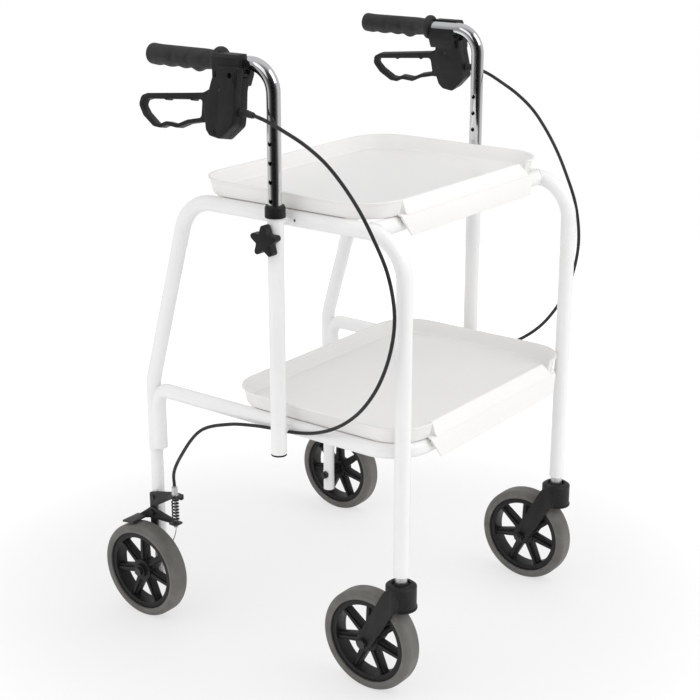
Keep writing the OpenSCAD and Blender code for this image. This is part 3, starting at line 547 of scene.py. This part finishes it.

# %% [markdown]
# The brake spring pushes the arm off the tyre. It is a plain compression spring of seven coils: a helix drawn as a
# wire, with short straight ends that stand on the two tabs. On the real walker a pull of the lever squeezes it by six
# millimetres, so it flattens towards the bracket's tab as the brake arm turns; here it is wound at rest, on the frame.

# %% Two brake springs
COILS, COIL_RADIUS, COIL_STEPS = 7, 4.8, 28
SPRING_LOW, COILS_LOW, COILS_HIGH, SPRING_HIGH = 162.3, 164.7, 200.3, 202.7
SPRING_WIRE_RADIUS = 0.0012
for side, s in SIDES.items():
    steps = COILS * COIL_STEPS
    helix = [(WIRE_X + COIL_RADIUS, WIRE_Y, SPRING_LOW)]
    for i in range(steps + 1):
        turn = 2 * math.pi * i * COILS / steps
        helix.append((WIRE_X + COIL_RADIUS * math.cos(turn), WIRE_Y + COIL_RADIUS * math.sin(turn),
                      COILS_LOW + (COILS_HIGH - COILS_LOW) * i / steps))
    helix.append((WIRE_X + COIL_RADIUS, WIRE_Y, SPRING_HIGH))
    spring = round_wire("coil_spring_" + side, on_side(helix, s), SPRING_WIRE_RADIUS)
    hand_over(spring, "coil_spring_" + side, "frame", "black_metal", ["brake_spring_" + side])
    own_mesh(spring)
print("springs wound:", COILS, "coils")

# %% [markdown]
# Moulded and pressed pieces never have knife edges. A copy of the plain solid is merged into one skin, its flat
# facets are joined again, and a bevel that only takes the sharp edges rounds them, so that they catch the light as
# the real ones do. The copy then stands for the solid.

# %% A rounded copy of a solid
RIM_WIDTH, SHARP = 0.0026, 0.7      # metres, and radians between two faces


def wide_rim(piece, on_rim):
    """Bevel the sharp edges whose two ends the test accepts, before the fine rounding."""
    mesh = piece.data
    sides = {}
    for face in mesh.polygons:
        for key in face.edge_keys:
            sides.setdefault(key, []).append(face.normal)
    sharp = {key for key, normals in sides.items() if len(normals) == 2 and normals[0].angle(normals[1], 0) > SHARP}
    bpy.ops.object.mode_set(mode="EDIT")
    bpy.ops.mesh.select_mode(type="EDGE")
    bpy.ops.mesh.select_all(action="DESELECT")
    bpy.ops.object.mode_set(mode="OBJECT")
    for edge in mesh.edges:
        edge.select = edge.key in sharp and all(on_rim(mesh.vertices[i].co) for i in edge.vertices)
    bpy.ops.object.mode_set(mode="EDIT")
    bpy.ops.mesh.bevel(offset=RIM_WIDTH, segments=4, profile=0.5, affect="EDGES")
    bpy.ops.object.mode_set(mode="OBJECT")


def round_edges(piece, width, angle=38, miter="MITER_SHARP"):
    """Round the edges where two faces meet at more than the angle, in degrees."""
    bevel = piece.modifiers.new("rounded_edges", "BEVEL")
    bevel.width, bevel.segments = width, 3
    bevel.limit_method, bevel.angle_limit = "ANGLE", math.radians(angle)
    bevel.miter_outer = miter
    apply_modifiers(piece)


def rounded_copy(node, width, rim=None):
    """A copy of a node's solid with rounded edges, and a wider bevel on the rim that a test finds."""
    copy = nodes[node].copy()
    copy.data = nodes[node].data.copy()
    copy.parent = None
    copy.matrix_world = Matrix.Identity(4)
    for key in list(copy.keys()):
        del copy[key]
    bpy.context.collection.objects.link(copy)
    take_up(copy)
    bpy.ops.object.mode_set(mode="EDIT")
    bpy.ops.mesh.select_all(action="SELECT")
    bpy.ops.mesh.remove_doubles(threshold=0.00002)
    bpy.ops.mesh.dissolve_limited(angle_limit=math.radians(0.6), delimit={"NORMAL"})
    bpy.ops.object.mode_set(mode="OBJECT")
    if rim:
        wide_rim(copy, rim)
    round_edges(copy, width, miter="MITER_ARC")
    soften(copy)
    return copy


ROUNDED = {"caster_fork": ("caster", 0.0016), "caster_hub": ("caster_wheel", 0.0008),
           "rear_hub": ("rear_wheel", 0.0008), "housing_inner": ("handle", 0.0012), "brake_lever": ("lever", 0.0024),
           "star_knob": ("knob", 0.0022), "brake_bracket": ("frame", 0.0005), "brake_arm": ("brake", 0.0005)}
for kind, (carrier, width) in ROUNDED.items():
    for side in SIDES:
        node = f"{kind}_{side}"
        body = carrier if carrier == "frame" else f"{carrier}_{side}"
        hand_over(rounded_copy(node, width), f"{kind}_moulded_{side}", body, SLOT_OF[node], [node])
    print("rounded", kind)

# %% [markdown]
# The brake handle leans outwards, so a small function turns places in the handle's own plane into places on the
# walker. With it, the rim of the housing's flat outer face is found: the points that lie in that face, below the
# grip, and not at the edge of the two holes in it.

# %% Places on the brake handle
LEAN = math.radians(11.3)
PLANE_X, STEM_Y, GRIP_Z = 258.3, -65.5, 866.5       # millimetres
FACE_OUT, PIN_PLACE, LOW_SCREW = 13, (63.6, -36.4), (63.6, -90.2)
FACE_TOP, HOLE_REACH = 0.846, 0.0052


def in_handle(s, back, up, out):
    """A place in the brake handle's plane: millimetres behind the stem, above the grip axis and outwards."""
    x = PLANE_X - up * math.sin(LEAN) + out * math.cos(LEAN)
    return Vector((s * x, back + STEM_Y, GRIP_Z + up * math.cos(LEAN) + out * math.sin(LEAN))) / 1000


def outwards(s):
    return Vector((s * math.cos(LEAN), 0, math.sin(LEAN)))


def on_face_rim(s):
    """A test that accepts the points on the rim of the housing's outer face."""
    level = in_handle(s, 0, 0, FACE_OUT).dot(outwards(s))
    holes = [in_handle(s, *hole, FACE_OUT) for hole in (PIN_PLACE, LOW_SCREW)]
    return lambda co: (abs(co.dot(outwards(s)) - level) < 0.00005 and co.z < FACE_TOP
                       and all((co - hole).length > HOLE_REACH for hole in holes))


print("outer face of the right housing at", [round(c, 4) for c in in_handle(SIDES["right"], *PIN_PLACE, FACE_OUT)])

# %% [markdown]
# Each housing is held by three cross-head screws. A screw is a short cylinder with a rounded edge, from which two
# crossed bars are cut, and a thinner cylinder as its shank. It is made at the origin and then turned into its hole.

# %% A cross-head screw
HEAD_RADIUS, HEAD_HEIGHT, SHANK_RADIUS = 0.0035, 0.0022, 0.002
RECESS = (0.0042, 0.0009, 0.0026)


def cross_head(place, way, length):
    """A screw with a shank of the given length, whose head looks along the given way."""
    bpy.ops.object.select_all(action="DESELECT")
    bpy.ops.mesh.primitive_cylinder_add(vertices=40, radius=HEAD_RADIUS, depth=HEAD_HEIGHT,
                                        location=(0, 0, -HEAD_HEIGHT / 2))
    screw = bpy.context.object
    settle(screw)
    round_edges(screw, 0.0005, 30)
    for turn in (0, math.pi / 2):
        bpy.ops.mesh.primitive_cube_add(size=1, location=(0, 0, 0), rotation=(0, 0, turn))
        slot = bpy.context.object
        slot.scale = RECESS
        settle(slot)
        cut = screw.modifiers.new("cut", "BOOLEAN")
        cut.operation, cut.object = "DIFFERENCE", slot
        apply_modifiers(screw)
        bpy.data.objects.remove(slot)
    bpy.ops.object.select_all(action="DESELECT")
    bpy.ops.mesh.primitive_cylinder_add(vertices=24, radius=SHANK_RADIUS, depth=length,
                                        location=(0, 0, -0.0021 - length / 2))
    screw.select_set(True)
    bpy.context.view_layer.objects.active = screw
    bpy.ops.object.join()
    screw.rotation_mode = "QUATERNION"
    screw.rotation_quaternion = Vector((0, 0, 1)).rotation_difference(way)
    screw.location = place
    settle(screw)
    soften(screw)
    return screw


print("screw head:", 2000 * HEAD_RADIUS, "mm across")

# %% [markdown]
# The outer half of the brake housing has a wide rounded rim round its flat face, which catches a soft line of light.
# Screws and lever pin look black on the walker. A ribbed rubber boot shields the cable where it leaves: a straight
# wire whose radius swells at each rib and shrinks towards the cable.

# %% Brake housings, screws, pins and cable boots
BOOT_START, BOOT_END, BOOT_STEPS, BOOT_RIBS = (34.4, -60.8, 0), (12.7, -63.4, 0), 72, 5


def boot_radius(t):
    """The boot's radius in millimetres, from its collar at the housing, 0, to its thin end, 1."""
    rib = 0.55 * max(0, math.sin(2 * math.pi * BOOT_RIBS * t - 0.6)) if 0.06 < t < 0.94 else 0
    return 5.4 - 1.7 * t + rib + (0.6 if t < 0.05 else 0)


boot_parts = [i / BOOT_STEPS for i in range(BOOT_STEPS + 1)]
for side, s in SIDES.items():
    housing = rounded_copy("housing_outer_" + side, 0.0009, rim=on_face_rim(s))
    hand_over(housing, "housing_outer_moulded_" + side, "handle_" + side, "black_plastic", ["housing_outer_" + side])
    screws = [cross_head(in_handle(s, *LOW_SCREW, 12.3), outwards(s), 0.0196)]
    for back in (50, 75):
        clamp_place = Vector((s * 269.6, back + STEM_Y, 852.7)) / 1000
        screws.append(cross_head(clamp_place, Vector((s, 0, 0)), 0.031))
    take_up(screws[0])
    for screw in screws[1:]:
        screw.select_set(True)
    bpy.ops.object.join()
    hand_over(screws[0], "cross_head_screws_" + side, "handle_" + side, "black_metal", ["housing_screws_" + side])
    pin = rounded_copy("lever_pin_" + side, 0.0006)
    hand_over(pin, "lever_pin_dark_" + side, "handle_" + side, "black_metal", ["lever_pin_" + side])
    start, end = in_handle(s, *BOOT_START), in_handle(s, *BOOT_END)
    boot = round_wire("ribbed_boot_" + side, [start.lerp(end, t) for t in boot_parts], 0.001, 32,
                      [boot_radius(t) for t in boot_parts])
    hand_over(boot, "ribbed_boot_" + side, "handle_" + side, "black_rubber", ["cable_boot_" + side])
print("brake housings fitted with screws, pins and boots")

# %% [markdown]
# From here on, pieces are shaped in edit mode, where each step works on what is selected. Picking by hand means
# clicking; here a small helper selects whatever a test accepts, such as all faces that look up.

# %% Picking in edit mode
def pick(piece, faces=None, edges=None, verts=None):
    """In edit mode, select only what the test accepts: a test on a face, an edge or a vertex."""
    bpy.ops.mesh.select_mode(type="FACE" if faces else "EDGE" if edges else "VERT")
    bpy.ops.mesh.select_all(action="DESELECT")
    bpy.ops.object.mode_set(mode="OBJECT")
    mesh = piece.data
    if verts:
        for vert in mesh.vertices:
            vert.select = verts(vert.co)
    if edges:
        for edge in mesh.edges:
            edge.select = edges(*[mesh.vertices[i].co for i in edge.vertices])
    if faces:
        for face in mesh.polygons:
            face.select = faces(face)
    bpy.ops.object.mode_set(mode="EDIT")


def face_outwards():
    """In edit mode, turn all faces of a closed mesh outwards."""
    bpy.ops.mesh.select_all(action="SELECT")
    bpy.ops.mesh.normals_make_consistent(inside=False)


print("picking ready")

# %% [markdown]
# The trays are one moulding used twice. A plane with rounded corners becomes a thin slab; its upper face is inset and
# sunk in steps to the inner wall, the foot and the floor, and its lower face is inset in the same way to the outer wall
# and the underside. The front wall is then cut out between the corners, where a low ridge and a hanging lip take over.

# %% Tray shell, counted from the axis of its front crossbar
TRAY_SIZE, TRAY_MIDDLE, TRAY_CORNER = (0.444, 0.3204, 1), (0, 0.1482, 0.0332), 0.062
RIM_HEIGHT = 0.0018
INSIDE_STEPS = ((3.8, 0), (4.4, 17.6), (0.8, 1.9), (1.5, 1.1), (2.5, 0.4))      # inwards and down, millimetres
OUTSIDE_STEPS = ((2.4, 0.6), (4.2, 19.0), (1.0, 1.5), (1.6, 0.7))
OPENING_SIZE, OPENING_MIDDLE = (0.320, 0.052, 0.050), (0, -0.012, 0.03905)
bpy.ops.object.select_all(action="DESELECT")
bpy.ops.mesh.primitive_plane_add(size=1, location=TRAY_MIDDLE)
tray = bpy.context.object
tray.scale = TRAY_SIZE
settle(tray)
bpy.ops.object.mode_set(mode="EDIT")
bpy.ops.mesh.select_mode(type="VERT")
bpy.ops.mesh.select_all(action="SELECT")
bpy.ops.mesh.bevel(offset=TRAY_CORNER, segments=18, profile=0.5, affect="VERTICES")
bpy.ops.mesh.select_mode(type="FACE")
bpy.ops.mesh.select_all(action="SELECT")
bpy.ops.mesh.extrude_region_move(TRANSFORM_OT_translate={"value": (0, 0, RIM_HEIGHT)})
face_outwards()
pick(tray, faces=lambda f: f.normal.z > 0.9)
for inward, down in INSIDE_STEPS:
    bpy.ops.mesh.inset(thickness=inward / 1000, depth=-down / 1000)
pick(tray, faces=lambda f: f.normal.z < -0.9)
for inward, down in OUTSIDE_STEPS:
    bpy.ops.mesh.inset(thickness=inward / 1000, depth=down / 1000)
bpy.ops.object.mode_set(mode="OBJECT")
bpy.ops.object.select_all(action="DESELECT")
bpy.ops.mesh.primitive_cube_add(size=1, location=OPENING_MIDDLE)
front = bpy.context.object
front.scale = OPENING_SIZE
settle(front)
opening = tray.modifiers.new("front_opening", "BOOLEAN")
opening.operation, opening.object = "DIFFERENCE", front
apply_modifiers(tray)
bpy.data.objects.remove(front)
round_edges(tray, 0.0009)
print("tray shell:", len(tray.data.polygons), "faces")

# %% [markdown]
# The ridge keeps things on the tray, and the lip hangs over the crossbar, so the tray can't slide towards the user.
# Each is a bar across the tray: its outline is drawn as one face and extruded, and its ends are slanted by scaling
# the points at one height. Two ribs under the floor keep the tray between the rails.

# %% Ridge and lip of the tray
RIDGE = [(16, 12.4), (16, 13.9), (11.6, 15.2), (2.8, 28.2), (1.2, 30), (-1, 30.8), (-3.2, 30.2), (-13, 17.2),
         (-14.6, 15), (-15.2, 12.4)]
LIP = [(6, 11.5), (6, 14), (-12.2, 14), (-14.4, 13.2), (-15.6, 11), (-21.6, -14.3), (-19, -14.3), (-13.2, 9.8),
       (-13.6, 10.9), (-14.2, 11.5)]
RIDGE_FOOT, RIDGE_TOP, RIDGE_FRONT = 153, 149, 156      # half widths in millimetres
LIP_FOLD, LIP_BOTTOM, LIP_BACK = 168, 152.5, 158


def cross_bar(name, outline, half):
    """A closed bar across the tray with the given outline, in millimetres, left in edit mode."""
    mesh = bpy.data.meshes.new(name)
    mesh.from_pydata([(-half / 1000, y / 1000, z / 1000) for y, z in outline], [], [list(range(len(outline)))])
    bar = bpy.data.objects.new(name, mesh)
    bpy.context.collection.objects.link(bar)
    take_up(bar)
    bpy.ops.object.mode_set(mode="EDIT")
    bpy.ops.mesh.select_all(action="SELECT")
    bpy.ops.mesh.extrude_region_move(TRANSFORM_OT_translate={"value": (2 * half / 1000, 0, 0)})
    face_outwards()
    return bar


def widen(ratio):
    bpy.ops.transform.resize(value=(ratio, 1, 1), center_override=(0, 0, 0))


ridge = cross_bar("ridge", RIDGE, RIDGE_FOOT)
pick(ridge, verts=lambda c: c.z > 0.024)
widen(RIDGE_TOP / RIDGE_FOOT)
pick(ridge, verts=lambda c: c.y < -0.010)
widen(RIDGE_FRONT / RIDGE_FOOT)
bpy.ops.object.mode_set(mode="OBJECT")
round_edges(ridge, 0.0012, 30)
lip = cross_bar("lip", LIP, LIP_FOLD)
pick(lip, verts=lambda c: c.z < -0.014)
widen(LIP_BOTTOM / LIP_FOLD)
pick(lip, verts=lambda c: c.y > 0)
widen(LIP_BACK / LIP_FOLD)
bpy.ops.object.mode_set(mode="OBJECT")
round_edges(lip, 0.0009)
print("ridge and lip:", len(ridge.data.polygons), "and", len(lip.data.polygons), "faces")

# %% Ribs, and two trays in place
RIB_SIZE, RIB_X, RIB_Y, RIB_Z = (0.003, 0.196, 0.0096), 0.2014, 0.150, 0.0068
TRAYS = {"upper_tray": ("tray_upper", -0.200, 0.662), "lower_tray": ("tray_lower", -0.253, 0.362)}


def placed_copy(piece, place):
    """A copy of a piece with a mesh of its own, at the given place."""
    copy = piece.copy()
    copy.data = piece.data.copy()
    copy.location = place
    bpy.context.collection.objects.link(copy)
    return copy


ribs = []
for m in (-1, 1):
    bpy.ops.object.select_all(action="DESELECT")
    bpy.ops.mesh.primitive_cube_add(size=1, location=(m * RIB_X, RIB_Y, RIB_Z))
    ribs.append(bpy.context.object)
    ribs[-1].scale = RIB_SIZE
    settle(ribs[-1])
    round_edges(ribs[-1], 0.0005)
take_up(tray)
for part in (ridge, lip, *ribs):
    part.select_set(True)
bpy.ops.object.join()
soften(tray)
for node, (body, bar_y, bar_z) in TRAYS.items():
    copy = hand_over(placed_copy(tray, (0, bar_y, bar_z)), node + "_moulded", body, "tray_plastic", [node])
    print(copy.name, len(copy.data.polygons), "faces, box", [round(c, 4) for c in copy.dimensions])
bpy.data.objects.remove(tray)

# %% [markdown]
# The tyres are solid grey rubber pressed on the rims: a tread that is almost flat, round shoulders, and a raised
# band on each side wall. One tyre starts as a disc whose faces are inset and opened into a ring; the shoulders are
# bevelled and the side walls inset. Then it is copied to all four wheels.

# %% One grey tyre
TYRE_RADIUS, TYRE_WIDTH, RIM_RADIUS, SHOULDER = 0.075, 0.028, 0.0621, 0.0066


def from_axle(point):
    return math.hypot(point.y, point.z)


bpy.ops.object.select_all(action="DESELECT")
bpy.ops.mesh.primitive_cylinder_add(vertices=144, radius=TYRE_RADIUS, depth=TYRE_WIDTH, rotation=(0, math.pi / 2, 0))
tyre = bpy.context.object
settle(tyre)
bpy.ops.object.mode_set(mode="EDIT")
pick(tyre, faces=lambda f: abs(f.normal.x) > 0.9)
bpy.ops.mesh.inset(thickness=TYRE_RADIUS - RIM_RADIUS)
bpy.ops.mesh.delete(type="ONLY_FACE")
pick(tyre, edges=lambda a, b: max(from_axle(a), from_axle(b)) < RIM_RADIUS + 0.0005)
bpy.ops.mesh.bridge_edge_loops()
pick(tyre, edges=lambda a, b: min(from_axle(a), from_axle(b)) > TYRE_RADIUS - 0.001 and abs(a.x - b.x) < 1e-6)
bpy.ops.mesh.bevel(offset=SHOULDER, segments=8, profile=0.55, affect="EDGES")
pick(tyre, faces=lambda f: abs(f.normal.x) > 0.99)
bpy.ops.mesh.inset(thickness=0.0010)
bpy.ops.mesh.inset(thickness=0.0007, depth=0.0006)
face_outwards()
bpy.ops.object.mode_set(mode="OBJECT")
soften(tyre, 45)
print("tyre:", len(tyre.data.polygons), "faces")

# %% Tyres on all four wheels
def wheel_centre(node):
    low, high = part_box(node)
    return (low + high) / 2


for kind, carrier in (("caster_tyre", "caster_wheel"), ("rear_tyre", "rear_wheel")):
    for side in SIDES:
        copy = placed_copy(tyre, wheel_centre(f"{kind}_{side}"))
        hand_over(copy, f"{kind}_rubber_{side}", f"{carrier}_{side}", "tyre_grey", [f"{kind}_{side}"])
bpy.data.objects.remove(tyre)
print("four tyres fitted")

# %% [markdown]
# The grips are soft rubber sleeves. From the flange at the front they narrow to a waist, swell to the palm, and end
# blunt. Underneath stands one strong finger bump and three weaker ones, and each side has three dimples. A ring of
# vertices is extruded along the grip and scaled to the outline, and the bumps and dimples are pulled with a soft
# falloff, as by hand. Subdivision then rounds it all.

# %% One grip
BORE = 9.8
GRIP_OUTLINE = [(84.5, 15.2), (85.2, 17.2), (86.6, 18.4), (90.6, 18.4), (92.2, 17.2), (93.0, 14.4), (94.5, 13.1),
                (98, 12.7), (102, 12.8), (106, 13.1), (110, 13.4), *[(u, 13.5) for u in range(114, 191, 4)],
                (194, 13.6), (198, 13.7), (202, 13.9), (206, 14.2), (209.5, 14.4), (211.6, 13.9), (212.6, 12.4),
                (212.9, 10)]
FINGER_BUMPS = ((125, 4.6, 13), (151, 2.2, 12), (176, 2.0, 12), (199, 1.6, 11))     # place, depth, reach
DIMPLES = ((112, 2.4, 7), (139, 2.0, 6), (165, 1.7, 5.5))


def pull(way, reach):
    """Move what is selected, and what lies within reach a little less, both in millimetres."""
    bpy.ops.transform.translate(value=[c / 1000 for c in way], use_proportional_edit=True,
                                proportional_edit_falloff="SMOOTH", proportional_size=reach / 1000)


bpy.ops.object.select_all(action="DESELECT")
last_u, last_r = GRIP_OUTLINE[0][0], BORE
bpy.ops.mesh.primitive_circle_add(vertices=48, radius=BORE / 1000, fill_type="NOTHING", rotation=(math.pi / 2, 0, 0),
                                  location=(0, last_u / 1000, 0))
grip = bpy.context.object
settle(grip)
bpy.ops.object.mode_set(mode="EDIT")
bpy.ops.mesh.select_mode(type="VERT")
bpy.ops.mesh.select_all(action="SELECT")
for u, r in GRIP_OUTLINE:
    bpy.ops.mesh.extrude_region_move(TRANSFORM_OT_translate={"value": (0, (u - last_u) / 1000, 0)})
    bpy.ops.transform.resize(value=(r / last_r, 1, r / last_r), center_override=(0, u / 1000, 0))
    last_u, last_r = u, r
bpy.ops.mesh.extrude_region_move(TRANSFORM_OT_translate={"value": (0, 0, 0)})
bpy.ops.transform.resize(value=(0.5, 1, 0.5), center_override=(0, last_u / 1000, 0))
bpy.ops.mesh.edge_face_add()
for u, depth, reach in FINGER_BUMPS:
    pick(grip, verts=lambda c: abs(c.y - u / 1000) < 0.0025 and c.z < -0.0128)
    pull((0, 0, -depth), reach)
for m in (-1, 1):
    for u, depth, reach in DIMPLES:
        pick(grip, verts=lambda c: abs(c.y - u / 1000) < 0.0022 and m * c.x > 0.0132)
        pull((-m * depth, 0, 0), reach)
face_outwards()
bpy.ops.object.mode_set(mode="OBJECT")
rounder = grip.modifiers.new("rounder", "SUBSURF")
rounder.levels = rounder.render_levels = 2
apply_modifiers(grip)
bpy.ops.object.shade_smooth()
print("grip:", len(grip.data.polygons), "faces")

# %% Grips on both handles
SOCKET_X, SOCKET_Y, GRIP_HEIGHT = 0.2463, -0.0655, 0.8665
for side, s in SIDES.items():
    copy = placed_copy(grip, (s * SOCKET_X, SOCKET_Y, GRIP_HEIGHT))
    hand_over(copy, "grip_rubber_" + side, "handle_" + side, "black_rubber", ["grip_" + side])
bpy.data.objects.remove(grip)
print("two grips fitted")

# %% [markdown]
# Where tube meets tube the frame is welded, and under the powder coat the weld shows as a soft rounded fillet. Each
# is a thin bead laid along the line where the two tubes meet. That line is a saddle: it follows the branch tube
# round and rides up on the main tube. Small swells in the bead stand for the ripples of the weld.

# %% A weld bead
BEAD_RADIUS = 0.0017


def saddle(branch_radius, main_radius, centre, along, main_axis, turns=64):
    """The line where a branch tube that points along one axis meets a main tube, round the branch."""
    along, main_axis = Vector(along), Vector(main_axis)
    across = along.cross(main_axis)
    line = []
    for i in range(turns + 1):
        a = 2 * math.pi * i / turns
        side_way = branch_radius * math.sin(a)
        out = math.sqrt(max(main_radius ** 2 - side_way ** 2, 0))
        line.append(Vector(centre) + along * out + main_axis * branch_radius * math.cos(a) + across * side_way)
    return line


def bead(name, line):
    """A weld along a closed line, with the ripples that a welder leaves."""
    swell = [1 + 0.16 * math.sin(i * 2.4) + 0.08 * math.sin(i * 0.9 + 1) for i in range(len(line))]
    swell[-1] = swell[0]
    return hand_over(round_wire(name, line, BEAD_RADIUS, swell=swell), name, "frame", "frame_paint")


print("bead radius", 1000 * BEAD_RADIUS, "mm")

# %% Weld beads on the frame
TUBE, STANDOFF, LOW_STANDOFF, BOSS = 0.0111, 0.006, 0.005, 0.007        # radii
PROUD = TUBE + 0.0004       # a crossbar is as wide as its rail, so its bead is laid a little proud
RAIL_X, TOP_Z, SHELF_Z, BOSS_Z = 0.215, 0.662, 0.362, 0.6398
LENGTHWISE, UPRIGHT = (0, 1, 0), (0, 0, 1)
beads = 0
for side, s in SIDES.items():
    inward, outward = (-s, 0, 0), (s, 0, 0)
    rail_x, socket_x = s * RAIL_X, s * SOCKET_X
    for label, line in {
        "upper_front": saddle(TUBE, PROUD, (rail_x, -0.200, TOP_Z), inward, LENGTHWISE),
        "upper_rear": saddle(TUBE, PROUD, (rail_x, 0.062, TOP_Z), inward, LENGTHWISE),
        "shelf_rear": saddle(TUBE, PROUD, (rail_x, 0.009, SHELF_Z), inward, LENGTHWISE),
        "standoff_rail": saddle(STANDOFF, TUBE, (rail_x, SOCKET_Y, TOP_Z), outward, LENGTHWISE),
        "standoff_socket": saddle(STANDOFF, TUBE, (socket_x, SOCKET_Y, TOP_Z), inward, UPRIGHT),
        "low_standoff_shelf": saddle(LOW_STANDOFF, TUBE, (rail_x, SOCKET_Y, SHELF_Z), outward, LENGTHWISE),
        "low_standoff_socket": saddle(LOW_STANDOFF, TUBE, (socket_x, SOCKET_Y, SHELF_Z), inward, UPRIGHT),
        "knob_boss": saddle(BOSS, TUBE, (socket_x, SOCKET_Y, BOSS_Z), outward, UPRIGHT),
    }.items():
        bead(f"weld_{label}_{side}", line)
        beads += 1
print("weld beads laid:", beads)
